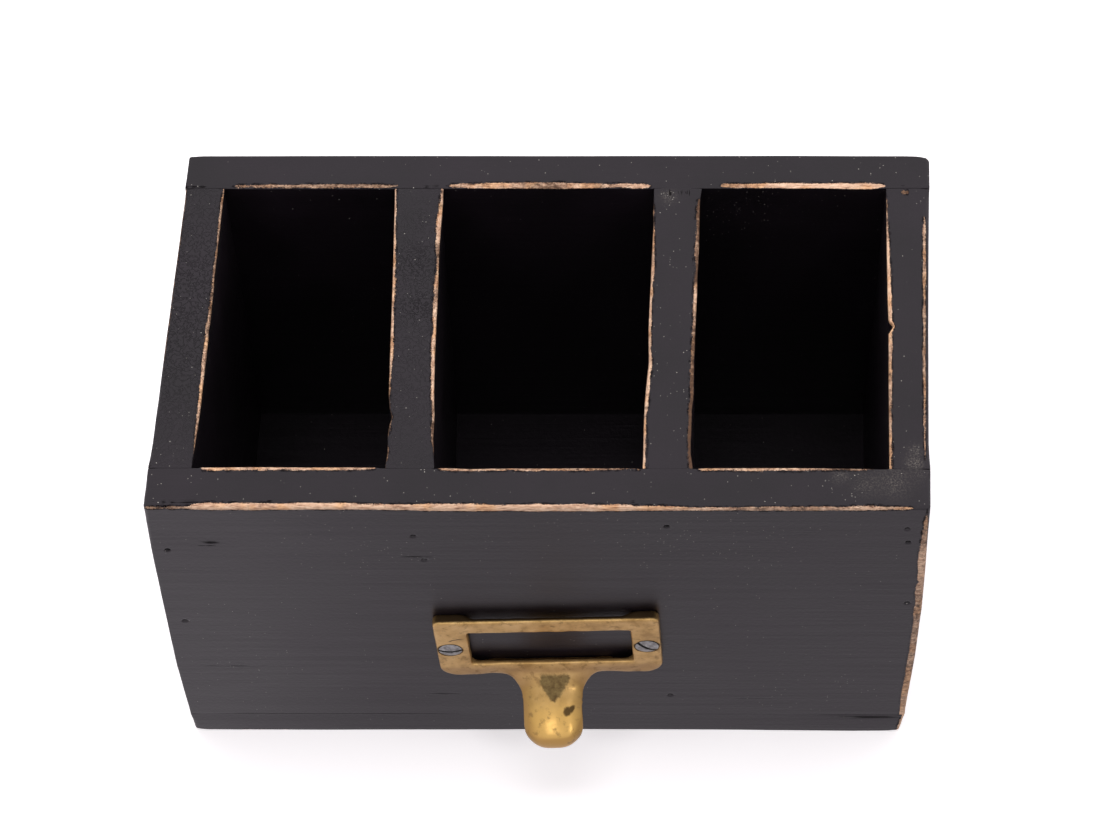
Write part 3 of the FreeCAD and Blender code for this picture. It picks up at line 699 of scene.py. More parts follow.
LEFT_DIVIDER = arrises(
    left_top=Arris(
        radius={-38: 0.4, 39: 0.5},
        raw={-38: 0.1, -35: 0.35, -33: 0.35, -31: -0.3, -28: 0.5, -25: 0.45, -22: 0.0, -19: 0.35, -13: 0.6,
            0: 0.75, 14: 0.8, 24: 0.6, 38: 0.4},
        stain={-38: 0.6, -30: 0.5, -22: 0.6, -14: 0.3, 20: 0.15},
        sway={-38: 0.3, -34: -0.1, -30: 0.0, -27: -0.3, -24.5: -0.9, -22: -0.3, -19: 0.0, 39: 0.0}),
    right_top=Arris(
        radius={-38: 0.4, 0: 0.5, 39: 0.5},
        raw={-37: -0.4, -34: 0.0, -31: 0.5, -25: 0.55, -20: 0.75, -11: 1.0, 2: 0.9, 11: 0.95, 19: 0.4,
            23: 1.0, 33: 0.8, 38: 0.45},
        stain={-34: 0.5, -26: 0.45, -18: 0.2, 0: 0.15, 6: 0.2, 8: 0.45, 11: 0.25, 18: 0.35, 21: 0.5,
            25: 0.2, 30: 0.15, 34: 0.35, 38: 0.35},
        sway={-38: 0.2, -33: 0.05, -31: -0.17, -24: 0.0, -18: -0.24, -7: -0.24, 2: -0.06, 8: 0.12, 23: 0.26,
            29: 0.48, 35: 0.8, 39: 0.8}),
    back_top=Arris(radius={-36: 0.3, -24: 0.2}))

RIGHT_DIVIDER = arrises(
    left_top=Arris(
        radius={-38: 0.4, -10: 0.8, 2: 0.5, 18: 0.7, 27: 0.5, 39: 0.5},
        raw={-38: 0.5, -28: 0.65, -25: 0.45, -19: 0.85, -12: 0.9, -4: 0.55, 5: 0.7, 20: 0.75, 26: 0.45,
            29: 0.0, 32: 0.4, 35: 0.0, 38: PAINTED},
        stain={-38: 0.2, -24: 0.35, -14: 0.2, 0: 0.25, 10: 0.3, 26: 0.35, 32: 0.5},
        sway={-38: 0.05, -25: 0.27, -19: 0.2, -13: -0.11, -10: -0.36, -4: -0.12, 0: 0.0, 17: -0.1,
            23: -0.15, 29: -0.2, 32: 0.0, 39: 0.0}),
    right_top=Arris(
        radius={-38: 0.4, 39: 0.5},
        raw={-38: 0.5, -19: 0.55, -6: 0.6, 2: 0.7, 9: 0.8, 14: 0.5, 17: 0.45, 21: 0.8, 30: 0.55, 36: 0.4,
            38: PAINTED},
        shift={-38: 0.5, -10: 0.5, 0: 0.1, 39: 0.1},
        stain={-38: 0.72, -22: 0.7, -14: 0.6, -4: 0.55, 3: 0.4, 9: 0.3, 13: 0.55, 18: 0.6, 22: 0.45,
            30: 0.6, 38: 0.7},
        sway={-38: -0.3, -34: -0.75, -22: -0.59, -19: -0.2, -10: -0.29, -1: -0.18, 8: 0.1, 14: 0.15,
            20: 0.36, 26: 0.45, 35: 0.5, 39: 0.9}))

FRONT_ZONES = on_front(
    dust=[(*FILLED_PIT, 0.9, 2.6), (-52, 101, 5, 0.5), (-42, 92, 8, 0.4), (-25, 95, 5, 0.3),
          (8, 105, 6, 0.35), (30, 99, 12, 0.3), (46, 95, 12, 0.3), (70, 30, 10, 0.12),
          (-70, 40, 16, 0.10), (60, 12, 14, 0.15)],
    streak=[(-82, 38, 4, 0.6), (-76, 37, 4, 0.5), (-26, 18, 5, 0.6), (-15, 17, 5, 0.5), (52, 22, 7, 0.3),
            (78, 80, 7, 0.3), (60, 104, 6, 0.3), (-77.5, 101, 2.2, 1.2), (-76.5, 98.6, 2.0, 1.1),
            (-79, 97, 1.5, 1.1), (-29.5, 91.0, 3.5, 1.15), (-26.5, 91.2, 2.0, 1.1)])
FRONT_ZONES += on_top(
    scuff=[(82, -41.5, 4.0, 0.62), (76, -42.5, 3.0, 0.5), (87, -39, 3, 0.4), (70, -40.3, 1.6, 0.8)],
    dust=[(81, -41, 5, 0.5), (88, -47.8, 2.2, 1.2), (67.2, -41.2, 0.9, 2.0), (-20, -42, 30, 0.1),
          (40, -43, 25, 0.15), (-84, -47.6, 2, 0.6), (-76, -47.6, 2, 0.7), (-82, -47.3, 2.5, 0.6),
          (-82, -42, 9, 0.10), (-68, -47, 2, 0.5), (66, -44, 10, 0.30)],
    streak=[*[(x, y, 1.3, strength) for x, y, strength in (
                (-89.6, -47.3, 1.3), (-88.6, -47.0, 1.5), (-87.2, -47.4, 1.2), (-86.0, -47.2, 1.6),
                (-84.6, -46.9, 1.3), (-83.8, -47.4, 1.5), (-82.1, -47.2, 1.3), (-81.0, -47.5, 1.6),
                (-79.9, -47.2, 1.3), (-78.7, -47.4, 1.4))],
            *[(x, -47.3, 0.9, 1.1) for x in (
                -70, -61.5, -52, -48, -33, -21, -8, 3, 14, 22, 31, 38, 47, 52, 61, 66, 74)]])
BACK_ZONES = on_top(
    streak=[*[(x, 39.3, 1.1, 1.3) for x in (-90, -88, -86, -84, -82, -34, -32, -30, -28, -26)],
            *[(x, y, 1.1, 1.4) for x, y in ((84.6, 39.0), (87, 39.2), (89.8, 39.0), (92.4, 39.1))]],
    dust=[(0, 44, 60, 0.08), (85, 44, 10, 0.2)])
BACK_ZONES += [("dust", 50, 39.3, 108, 9, 0.9), ("dust", 42, 39.3, 112, 4, 1.0)]
LEFT_END_ZONES = on_top(dust=[(-82, 0, 45, 0.12), (-84, -36, 6, 0.5)], crinkle=[(-82, 5, 40, 0.75)])
RIGHT_END_ZONES = on_top(
    scuff=[(87, -36.8, 1.8, 1.3), (87.3, -33.4, 1.4, 0.9)],
    dust=[(87, -36.8, 1.8, 1.0), (87.3, -33.4, 2.0, 1.1), (91.5, 36.8, 1.5, 1.5), (90.3, 34.5, 0.8, 1.6),
          (87, -20, 20, 0.2)])
LEFT_DIVIDER_ZONES = on_top(
    crinkle=[(-30, 18, 8, 0.85), (-29, 6, 7, 0.9), (-30, 30, 6, 0.5), (-30, 0, 45, 0.45)],
    dust=[(-34, -30, 6, 0.35), (-25, -26, 4, 0.6), (-29, 0, 40, 0.12)])
RIGHT_DIVIDER_ZONES = on_top(
    dust=[(30, 37.2, 3, 0.9), (32, 20, 5, 0.3), (31, -20, 12, 0.2), (31, 0, 40, 0.12)],
    streak=[(31.5, 37.9, 1.6, 1.3), (34.5, 38.0, 1.3, 1.5)], scuff=[(30.5, 36.8, 1.8, 0.7)])


def boards():
    """All seven boards. Front, back and bottom run along x, and the others along y."""
    paints = [black_paint("satin_black_brush_paint_on_pine_" + "xy"[run], run) for run in (0, 1)]

    def nailed(face, second_axis):
        """The nail heads on a face, and grid spots that are fine enough for their dimples."""
        heads = nail_heads(face)
        return heads, {0: [(first, *NAIL_SPOT) for _, first, _ in heads],
                       second_axis: [(second, *NAIL_SPOT) for _, _, second in heads]}

    # Node, grid step, arrises, nail heads and grid spots, zones, and the axis it runs along
    for number, (node, step, wear, (heads, spots), zones, run) in enumerate((
            ("front_board", 1.25, FRONT_BOARD, nailed("front", 2), FRONT_ZONES, 0),
            ("back_board", 1.7, BACK_BOARD, nailed("back", 2), BACK_ZONES, 0),
            ("bottom_board", 1.7, BOTTOM_BOARD, nailed("bottom", 1), on_front(streak=[(82, 8, 8, 0.8)]), 0),
            ("left_end_board", 1.3, LEFT_END_BOARD, ([], {}), LEFT_END_ZONES, 1),
            ("right_end_board", 1.3, RIGHT_END_BOARD, ([], {1: [(0.3, 2.2, 0.25)]}), RIGHT_END_ZONES, 1),
            ("left_divider", 1.3, LEFT_DIVIDER, ([], {1: [(-24.0, 5.0, 0.4)]}), LEFT_DIVIDER_ZONES, 1),
            ("right_divider", 1.3, RIGHT_DIVIDER, ([], {}), RIGHT_DIVIDER_ZONES, 1))):
        board(Board(node, step, spots, wear, heads, zones, number + 1), paints[run])


# Pull

# Where the pull sits on the front board, and how far it is turned out of level
PULL_PLACE = np.array([1.5, FRONT_Y, 51.1])
PULL_TILT = math.radians(2.7)
PLATE_FRONT = -2.7
PLATE_CENTRE = np.array([0.0, -0.6])
WINDOW_CENTRE = np.array([0.5, -0.5])
WINDOW_HALF = (19.8, 8.1)
SCREWS = ((-24.0, -0.6), (24.0, -0.6))
SINK_RADIUS = 3.0
SINK_SLOPE = 1.15
SINK_DEPTH = 2.2
TONGUE_WALL = 1.9


def on_board(points):
    """Turn points from the pull's own axes, flat on the wood, to their place on the box."""
    x, y, z = points.T
    cos, sin = math.cos(PULL_TILT), math.sin(PULL_TILT)
    return np.stack([x * cos - z * sin, y, x * sin + z * cos], 1) + PULL_PLACE


def rounded_loop(half_x, half_z, upper, lower, centre, side_count=(110, 44), corner_count=10):
    """Points round a rectangle, with corners of one radius above and another below.

    Each side is a straight run and each corner a quarter of a circle, with the same number of
    points for any size, so loops of different sizes join point to point.
    """
    corners = (upper, upper, lower, lower)
    runs = []
    for quarter in range(4):
        angle = quarter * math.pi / 2
        turn = np.array([[math.cos(angle), -math.sin(angle)], [math.sin(angle), math.cos(angle)]])
        reach_out, reach_along = (half_x, half_z) if quarter % 2 == 0 else (half_z, half_x)
        count = side_count[1] if quarter % 2 == 0 else side_count[0]
        corner, before = corners[quarter], corners[quarter - 1]
        straight = np.linspace(before - reach_along, reach_along - corner, count, endpoint=False)
        side = np.stack([np.full(count, reach_out), straight], 1)
        sweep = np.linspace(0, math.pi / 2, corner_count, endpoint=False)
        bend = np.stack([reach_out - corner + corner * np.cos(sweep),
                         reach_along - corner + corner * np.sin(sweep)], 1)
        runs.append(np.concatenate([side, bend]) @ turn.T)
    return np.concatenate(runs) + centre


def plate_points():
    """The label plate: a rounded profile carried round the window.

    Rows run from the outer back, over the outer arris, across the front, over the window's
    arris and along the back again. The back is at the wood at both ends and steps forward by
    1.3 mm between them, over a ramp 3.5 mm long. A loop is given by its half width, half
    height, and corner radii above and below.
    """
    outer, inner = np.array([27.45, 14.0, 2.0, 4.6]), np.array([*WINDOW_HALF, 0.5, 0.5])
    arris, lip = 0.55, 0.35
    rows = []
    for angle in np.linspace(0, math.pi / 2, 6):
        inset = arris * (1 - math.cos(angle))
        rows.append((outer - inset, 1.0, PLATE_FRONT + arris * (1 - math.sin(angle))))
    for share in np.linspace(0, 1, 14)[1:-1]:
        rows.append(((outer - arris) * (1 - share) + (inner + lip) * share, 1.0 - share, PLATE_FRONT))
    for angle in np.linspace(math.pi / 2, 0, 5):
        inset = lip * (1 - math.cos(angle))
        rows.append((inner + inset, 0.0, PLATE_FRONT + lip * (1 - math.sin(angle))))
    for share in np.linspace(0, 1, 14):
        rows.append((inner + (outer - inner) * share, share, None))
    loops = []
    for loop, share, y in rows:
        x, z = rounded_loop(*loop, WINDOW_CENTRE * (1 - share) + PLATE_CENTRE * share).T
        if y is None:
            cut = smooth_step(21.3 - np.abs(x - WINDOW_CENTRE[0]), 0.0, 3.5) * smooth_step(z, -12.4, -11.0)
            depth = -1.3 * cut
        else:
            depth = np.full(len(x), y)
        loops.append(np.stack([x, depth, z], 1))
    return np.array(loops)


def tube_faces(rows, columns, close_rows):
    """Faces over a grid of points that closes along its columns, and along its rows if asked."""
    row, column = np.divmod(np.arange((rows if close_rows else rows - 1) * columns), columns)
    after, beside = (row + 1) % rows * columns, (column + 1) % columns
    row = row * columns
    return np.stack([row + column, row + beside, after + beside, after + column], 1)


def smooth_line(stations, count):
    """Catmull-Rom curve through stations, at count even steps of their numbering."""
    stations = np.asarray(stations, dtype=float)
    padded = np.concatenate([[2 * stations[0] - stations[1]], stations, [2 * stations[-1] - stations[-2]]])
    place = np.linspace(0, len(stations) - 1, count)
    start = np.minimum(place.astype(int), len(stations) - 2)
    t = (place - start)[:, None]
    p0, p1, p2, p3 = [padded[start + k] for k in range(4)]
    return 0.5 * (2 * p1 + (p2 - p0) * t + (2 * p0 - 5 * p1 + 4 * p2 - p3) * t ** 2
                  + (3 * p1 - p0 - 3 * p2 + p3) * t ** 3)


def tongue_points():
    """The finger pull: an arch carried along its crown line, from the lower bar out and round the nose.

    At each step the arch falls away from the crown by drop * |v| ** power, where v runs from
    -1 to 1 across it. The power grows from 2 at the root to 3 at the nose, which squares the
    nose. A second arch, one wall inside the first, closes the section.
    """
    # Out from the plate, down from its middle, half width, drop at the feet, power
    stations = [(-0.9, 9.6, 17.0, 0.15, 2.0), (-0.46, 10.6, 15.5, 0.34, 2.0), (1.15, 12.5, 11.5, 1.36, 2.1),
                (3.9, 14.55, 8.2, 2.72, 2.3), (7.6, 17.0, 7.6, 3.23, 2.5)]
    nose_radius = 6.0
    for degrees, half, drop in ((60, 7.5, 3.4), (20, 7.25, 3.4), (-20, 6.75, 3.2), (-60, 5.9, 2.6)):
        angle = math.radians(degrees)
        out, down = 8.5 + nose_radius * math.cos(angle), 25.2 - nose_radius * math.sin(angle)
        stations.append((out, down, half, drop, 3.0))
    out, down, half, drop, power = smooth_line(stations, 90).T
    crown = np.stack([np.full(len(out), -0.1), PLATE_FRONT - out, -down], 1)
    run = np.gradient(crown, axis=0)
    run /= np.linalg.norm(run, axis=1)[:, None]
    outward = np.cross(run, [1.0, 0.0, 0.0])
    v = np.linspace(-1, 1, 41)
    fall = drop[:, None] * np.abs(v) ** power[:, None]
    arches = []
    for inset, flatter in ((0.0, 1.0), (TONGUE_WALL, 0.9)):
        across = (half - inset)[:, None, None] * v[:, None] * np.array([1.0, 0, 0])
        arches.append(crown[:, None] + across - outward[:, None] * (inset + flatter * fall)[:, :, None])
    outer, inner = arches
    return np.concatenate([outer, inner[:, ::-1]], 1)


def relax(points, edges, rounds, share):
    """Move each point part of the way to the mean of its neighbours, rounds times over."""
    first, second = edges.T
    count = np.bincount(edges.ravel(), minlength=len(points))[:, None]
    for _ in range(rounds):
        total = np.zeros_like(points)
        for axis in range(3):
            total[:, axis] = (np.bincount(first, points[second, axis], len(points))
                              + np.bincount(second, points[first, axis], len(points)))
        points = points + share[:, None] * (total / count - points)
    return points


def pull(brass):
    """The card frame and its finger pull as one casting.

    Plate and tongue are joined by one even skin over both, and every point is then moved
    towards its neighbours: a little everywhere, which softens the arrises, and a lot along the
    root of the tongue, which runs the two together.
    """
    plate = plate_points()
    plate_faces = tube_faces(plate.shape[0], plate.shape[1], True)[:, ::-1]
    tongue = tongue_points()
    rows, columns = tongue.shape[:2]
    tongue_faces = tube_faces(rows, columns, False)
    half = columns // 2
    step = np.arange(half - 1)
    cap = np.stack([step, columns - 1 - step, columns - 2 - step, step + 1], 1)
    ends = np.concatenate([cap, (cap + (rows - 1) * columns)[:, ::-1]])
    points = np.concatenate([plate.reshape(-1, 3), tongue.reshape(-1, 3)])
    shift = plate.shape[0] * plate.shape[1]
    faces = np.concatenate([plate_faces, tongue_faces + shift, ends + shift])
    piece = make_mesh("cast_card_frame_pull", points, faces)
    skin = piece.modifiers.new("skin", "REMESH")
    skin.mode, skin.voxel_size, skin.adaptivity = "VOXEL", 0.25 * MM, 0.0
    seen = piece.evaluated_get(bpy.context.evaluated_depsgraph_get())
    mesh = bpy.data.meshes.new_from_object(seen)
    piece.modifiers.clear()
    old = piece.data
    piece.data = mesh
    bpy.data.meshes.remove(old)
    mesh.name = "cast_card_frame_pull"
    points = rows_of(mesh.vertices, "co", 3) / MM
    edges = rows_of(mesh.edges, "vertices", 2, np.int32)
    x, y, z = points.T
    root = np.exp(-((y - PLATE_FRONT) / 1.3) ** 2)
    root = root * smooth_step(19.0 - np.abs(x), 0, 5) * smooth_step(-z, 9.0, 11.0)
    points = relax(points, edges, 11, np.full(len(points), 0.5))
    points = relax(points, edges, 60, 0.5 * np.clip(root, 0, 1))
    # The lower bar swells by half a millimetre over the tongue's root
    x, y, z = points.T
    swell = 0.5 * np.exp(-(x / 9.0) ** 2) * smooth_step(-z, 8.6, 11.5)
    points[:, 1] -= swell * smooth_step(-y, 1.6, 2.6) * smooth_step(-z, 15.5, 12.5)
    # Countersinks
    for across, up in SCREWS:
        distance = np.hypot(points[:, 0] - across, points[:, 2] - up)
        floor = PLATE_FRONT + np.minimum((SINK_RADIUS - distance) * SINK_SLOPE, SINK_DEPTH)
        points[:, 1] = np.where(distance < SINK_RADIUS, np.maximum(points[:, 1], floor), points[:, 1])
    # The casting is a little uneven, and stays clear of the wood by 0.02 mm
    uneven = waves(points, 31, [9.0, 5.0]) * 0.045
    points += rows_of(mesh.vertices, "normal", 3) * uneven[:, None]
    points[:, 1] = np.minimum(points[:, 1], -0.02)
    low, high = np.array(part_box("card_frame_pull")) / MM
    placed = np.clip(on_board(points), low, high)
    mesh.vertices.foreach_set("co", (placed * MM).astype(np.float32).ravel())
    mesh.polygons.foreach_set("use_smooth", np.ones(len(mesh.polygons), dtype=bool))
    mesh.update()
    mesh.materials.clear()
    mesh.materials.append(brass)
    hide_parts("card_frame_pull")
    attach(piece, "root")


def brass():
    """Cast yellow brass, browned by age and rubbed bright where fingers pull it.

    Old cast brass gives a soft golden shine that breaks up into brown tarnish. Painted shade darkens
    the tongue's flanks and the countersinks, and a painted reflection of the white floor lightens
    the lower nose.
    """
    material, add = new_material("aged_cast_brass")
    place = add("TexCoord", out="Object")
    # The pull's own axes, in mm
    local = add("Mapping", Vector=place, vector_type="TEXTURE", Location=list(PULL_PLACE * MM),
                Rotation=[0.0, -PULL_TILT, 0.0], Scale=[MM, MM, MM])
    across, depth, up = [add("SeparateXYZ", local, out=axis) for axis in range(3)]
    noise = {label: add("TexNoise", local, scale, detail, rough)
             for label, scale, detail, rough in (
                 ("ragged", 0.9, 5.0, 0.7), ("tone", 0.22, 4.0, 0.6), ("blots", 0.5, 6.0, 0.65),
                 ("freckle", 0.7, 5.0, 0.65), ("cast", 1.1, 2.0, 0.6))}
    # Ragged patches: centre and half sizes in mm, and how soft the edge is
    patch = {}
    for label, centre, size, soft in (
            ("spot", (3.7, -11.5, -18.2), (1.0, 1.5, 0.95), 0.3),
            ("spot_lobe", (4.7, -10.8, -18.4), (1.0, 1.6, 0.6), 0.3),
            ("scratched", (-22.8, PLATE_FRONT, 5.0), (1.9, 3.0, 1.3), 0.35)):
        offset = add("VectorMath SUBTRACT", local, centre)
        offset = add("VectorMath MULTIPLY", offset, [1 / half for half in size])
        far = add("VectorMath LENGTH", offset)
        far = add("Math MULTIPLY_ADD", noise["ragged"], 0.8, far)
        patch[label] = add("MapRange", far, 1.4 + soft, 1.4 - soft)

    colour = add("ValToRGB", noise["tone"], stops=[(0.32, "B38E58"), (0.5, "D3AC70"), (0.68, "E3BD82")])
    # How far a place stands out from the plate's front, in mm
    out = add("Math MULTIPLY_ADD", depth, -1.0, PLATE_FRONT)
    ragged_out = add("Math MULTIPLY_ADD", noise["ragged"], 3.0, out)
    # Handled end: yellower and brighter; brown down its flanks, partly tarnish and partly painted shade;
    # and the lower nose paler, a painted reflection of the white floor
    crown = add("MapRange", out, 0.8, 3.0)
    handled = add("MapRange", ragged_out, 6.5, 11.5)
    beside_tongue = add("Math ABSOLUTE", across)
    flank_tarnish_and_shade = add("MapRange", beside_tongue, 3.6, 6.6)
    flank_tarnish_and_shade = add("Math MULTIPLY", flank_tarnish_and_shade, crown)
    # Paler lower nose: a painted reflection of the white floor
    nose_painted_reflection = add("MapRange", up, -25.0, -28.5)
    nose_painted_reflection = add("Math MULTIPLY", nose_painted_reflection, handled)
    # Root: dull pinkish brown
    root_low = add("MapRange", up, -9.0, -11.5)
    root = add("MapRange", out, 3.5, 0.5)
    root = add("Math MULTIPLY", root, root_low)
    # Brown tarnish in blots; the tops of the pads and the top edge are dark brown
    blots = add("MapRange", noise["blots"], 0.53, 0.68)
    tops = add("Math MULTIPLY_ADD", noise["ragged"], 0.4, depth)
    tops = add("MapRange", tops, -2.35, -1.75)
    high = add("MapRange", up, 12.0, 13.4)
    tops = add("Math MULTIPLY", tops, high)
    # The window's walls are browner and duller
    wall = None
    for axis, centre, half in zip((across, up), WINDOW_CENTRE, WINDOW_HALF):
        away = add("Math SUBTRACT", axis, centre)
        away = add("Math ABSOLUTE", away)
        away = add("Math SUBTRACT", away, half)
        wall = away if wall is None else add("Math MAXIMUM", wall, away)
    wall = add("MapRange", wall, 0.30, 0.05)
    behind = add("MapRange", depth, -2.62, -2.35)
    wall = add("Math MULTIPLY", wall, behind)
    spot = add("Math MAXIMUM", patch["spot"], patch["spot_lobe"])
    # Bare olive patch on the root's crown: 7 mm wide above, and it narrows to its foot as a
    # parabola does, where |across - 0.5| / 3.6 + ((up + 13.3) / 3.2) ** 2 = 1
    below = add("Math MULTIPLY_ADD", up, 1 / 3.2, 13.3 / 3.2)
    below = add("Math MULTIPLY", below, below)
    olive = add("Math SUBTRACT", across, 0.5)
    olive = add("Math ABSOLUTE", olive)
    olive = add("Math MULTIPLY_ADD", olive, 1 / 3.6, below)
    olive = add("Math MULTIPLY_ADD", noise["ragged"], 0.8, olive)
    olive = add("Math MULTIPLY_ADD", noise["blots"], 0.6, olive)
    olive = add("MapRange", olive, 1.84, 1.56)
    olive_top = add("Math MULTIPLY_ADD", noise["ragged"], 2.0, up)
    olive_top = add("MapRange", olive_top, -10.7, -11.8)
    olive = add("Math MULTIPLY", olive, olive_top)
    on_tongue = add("MapRange", out, 0.0, 0.8)
    olive = add("Math MULTIPLY", olive, on_tongue)
    freckle = add("ValToRGB", noise["freckle"], stops=[(0.36, "4C3D2A"), (0.62, "7A6846")])
    # A curved scratch over the left screw: part of a ring 5.1 mm in radius
    bend = add("VectorMath DISTANCE", local, (-21.0, PLATE_FRONT, 0.2))
    bend = add("Math MULTIPLY_ADD", noise["ragged"], 0.6, bend)
    bend = add("Math SUBTRACT", bend, 5.1)
    bend = add("Math ABSOLUTE", bend)
    scratch = add("MapRange", bend, 0.30, 0.12)
    scratch = add("Math MULTIPLY", scratch, patch["scratched"])
    # Dark rings round the screws: old dirt on the plate, and painted shade in the countersinks between head
    # and plate
    dirt_and_shade = None
    for screw_x, screw_z in SCREWS:
        flat = add("VectorMath MULTIPLY", local, (1.0, 0.0, 1.0))
        ring = add("VectorMath DISTANCE", flat, (screw_x, 0.0, screw_z))
        ring = add("Math MULTIPLY_ADD", noise["ragged"], 0.7, ring)
        ring = add("MapRange", ring, 3.8, 3.3)
        dirt_and_shade = ring if dirt_and_shade is None else add("Math MAXIMUM", dirt_and_shade, ring)
    # Layers of colour, each with how strongly it covers
    for mask, cover, shade in (
            (crown, 0.6, "A98450"), (handled, 0.85, "D8AC64"), (flank_tarnish_and_shade, 0.5, "94743F"), (nose_painted_reflection, 0.8, "FFD28C"),
            (root, 0.6, "A2805A"), (blots, 0.5, "7E6342"), (tops, 1.0, "4A3A28"), (wall, 0.7, "8A6A45"),
            (olive, 0.85, freckle), (spot, 0.9, "4D3B26"), (scratch, 0.8, "3E2D1C"), (dirt_and_shade, 0.9, "3A2A1C")):
        mask = add("Math MULTIPLY", mask, cover)
        shade = linear(shade) if isinstance(shade, str) else shade
        colour = add("Mix", mask, colour, shade)

    # Roughness: 0.40 on the plate and 0.29 where it is handled, and more under tarnish, dirt, the dark tops
    # and the window's walls
    dull = add("Math MULTIPLY", blots, 0.5)
    for other in (olive, spot, dirt_and_shade, tops, wall):
        dull = add("Math MAXIMUM", dull, other)
    rough = add("Math MULTIPLY_ADD", crown, -0.11, 0.40)
    rough = add("Math MULTIPLY_ADD", dull, 0.25, rough)
    # Relief: the skin of the casting, and pin holes 0.2 mm across
    cells = (local, 0.8)
    hole = add("MapRange", add("TexVoronoi", *cells, out="Distance"), 0.16, 0.08)
    number = add("SeparateColor", add("TexVoronoi", *cells, out="Color"))
    picked = add("Math LESS_THAN", number, 0.05)
    hole = add("Math MULTIPLY", hole, picked)
    height = add("Math MULTIPLY", noise["cast"], 0.010 * MM)
    height = add("Math MULTIPLY_ADD", hole, -0.12 * MM, height)
    relief = add("Bump", Height=height, Strength=1.0, Distance=1.0)
    metal = add("BsdfPrincipled", Metallic=1.0, Base_Color=colour, Roughness=rough, Normal=relief)
    add("OutputMaterial", metal)
    return material


def steel(name, bright, dull, roughness):
    """Turned steel, finely scratched, which glints where it is bright and greys in blots."""
    material, add = new_material(name)
    place = add("TexCoord", out="Object")
    scratch = add("TexNoise", place, 3.0 * PER_MM, 3.0)
    gloss = add("MapRange", scratch, 0.0, 1.0, roughness - 0.1, roughness + 0.1,
                interpolation_type="LINEAR")
    grey = add("TexNoise", place, 0.8 * PER_MM, 5.0, 0.7)
    tone = add("ValToRGB", grey, stops=[(0.38, dull), (0.62, bright)])
    relief = add("Bump", Height=scratch, Strength=1.0, Distance=0.03 * MM)
    metal = add("BsdfPrincipled", Metallic=1.0, Base_Color=tone, Roughness=gloss, Normal=relief)
    add("OutputMaterial", metal)
    return material


def dress(node, material):
    """Give a CAD node one material."""
    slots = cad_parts[node].data.materials
    slots.clear()
    slots.append(material)


FLOOR_REACH = 6000.0
AIM = Vector((0, 0, 60))  # the lamps point here


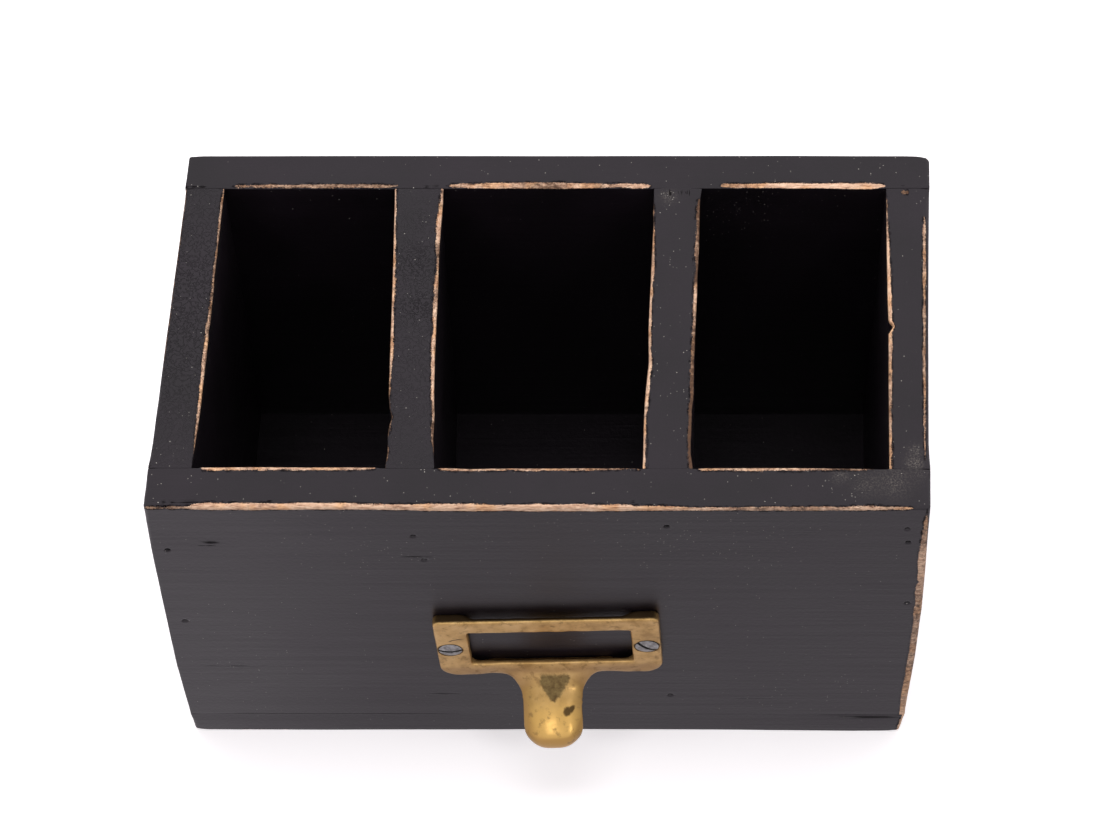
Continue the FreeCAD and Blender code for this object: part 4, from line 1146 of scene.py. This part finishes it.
def floor_and_light():
    """White sweep that shows as pure white but keeps the box's shadow, and soft lamps."""
    material, add = new_material("white_paper_sweep")
    camera_ray, glossy_ray, transmission_ray = [
        add("LightPath", out=label) for label in ("Is Camera Ray", "Is Glossy Ray", "Is Transmission Ray")]
    paper = add("BsdfDiffuse", linear("F2F2F2"))
    # Seen by the camera: shadows come from the diffuse part, and the glow keeps the open floor white
    shaded = add("BsdfDiffuse", [1.0, 0.965, 0.985, 1.0])
    glow = add("Emission", Strength=0.43, Color=[1.0, 0.965, 0.985, 1.0])
    seen = add("AddShader", shaded, glow)
    # Shiny surfaces see it brighter beyond 20 mm left of the middle, which lifts the front's left half
    from_middle = add("SeparateXYZ", add("TexCoord", out="Object"))
    strength = add("MapRange", from_middle, -20 * MM, -95 * MM, 0.61, 0.82)
    mirrored = add("Emission", Strength=strength, Color=[1.0, 0.94, 1.0, 1.0])
    shiny = add("Math MAXIMUM", glossy_ray, transmission_ray)
    mixed = add("MixShader", shiny, paper, mirrored)
    mixed = add("MixShader", camera_ray, mixed, seen)
    add("OutputMaterial", mixed)
    corners = np.array([[-1, -1, 0], [1, -1, 0], [1, 1, 0], [-1, 1, 0]]) * FLOOR_REACH
    floor = make_mesh("floor", corners, np.array([[0, 1, 2, 3]]), smooth=False)
    floor.data.materials.append(material)

    world = bpy.data.worlds.new("studio")
    bpy.context.scene.world = world
    world.use_nodes = True
    world.node_tree.nodes.clear()
    add = partial(add_node, world.node_tree)
    diffuse, glossy = [add("LightPath", out=label) for label in ("Is Diffuse Ray", "Is Glossy Ray")]
    strength = add("Math MULTIPLY_ADD", diffuse, -0.45, 1.0)
    strength = add("Math MULTIPLY_ADD", glossy, 0.2, strength)
    sky = add("Background", Strength=strength)
    add("OutputWorld", sky)

    # Softboxes: place in mm, side in mm, power in watts, and whether they light matt and shiny surfaces
    softboxes = [
        ("softbox_left", (-520, -620, 900), 220, 1.4, True, False),
        ("softbox_right", (480, -560, 980), 220, 1.4, True, False),
        ("softbox_back", (-20, 260, 1000), 760, 9.0, True, False),
        ("glint_left", (-120, -960, 560), 90, 0.26, False, True),
        ("glint_right", (640, -770, 420), 90, 0.30, False, True),
    ]
    for name, place, side, power, on_matt, on_shiny in softboxes:
        lamp = bpy.data.lights.new(name, "AREA")
        lamp.shape = "SQUARE"
        lamp.size = side * MM
        lamp.energy = power
        holder = bpy.data.objects.new(name, lamp)
        holder.location = Vector(place) * MM
        holder.visible_diffuse, holder.visible_glossy = on_matt, on_shiny
        holder.rotation_euler = (AIM * MM - holder.location).to_track_quat("-Z", "Y").to_euler()
        bpy.context.scene.collection.objects.link(holder)


def camera():
    """The photograph's viewpoint, solved from the box's corners."""
    lens = bpy.data.cameras.new("camera")
    lens.sensor_fit = "HORIZONTAL"
    lens.sensor_width = 36.0
    lens.lens = 128.389
    lens.clip_end = 50.0
    holder = bpy.data.objects.new("camera", lens)
    holder.location = Vector((22.16, -485.58, 904.04)) * MM
    holder.rotation_euler = Euler([math.radians(angle) for angle in (30.41377, 1.02584, 0.65927)], "XYZ")
    bpy.context.scene.collection.objects.link(holder)
    bpy.context.scene.camera = holder


boards()
pull(brass())
screw_steel = steel("turned_steel_screw", "B4B3B2", "7D7A79", 0.38)
for side in ("left", "right"):
    dress(side + "_pull_screw", screw_steel)
nail_steel = steel("painted_nail_steel", "1C1B1C", "100F0F", 0.45)
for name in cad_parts:
    if "nails" in name:
        dress(name, nail_steel)
floor_and_light()
camera()
bpy.context.scene.view_settings.view_transform = "Standard"
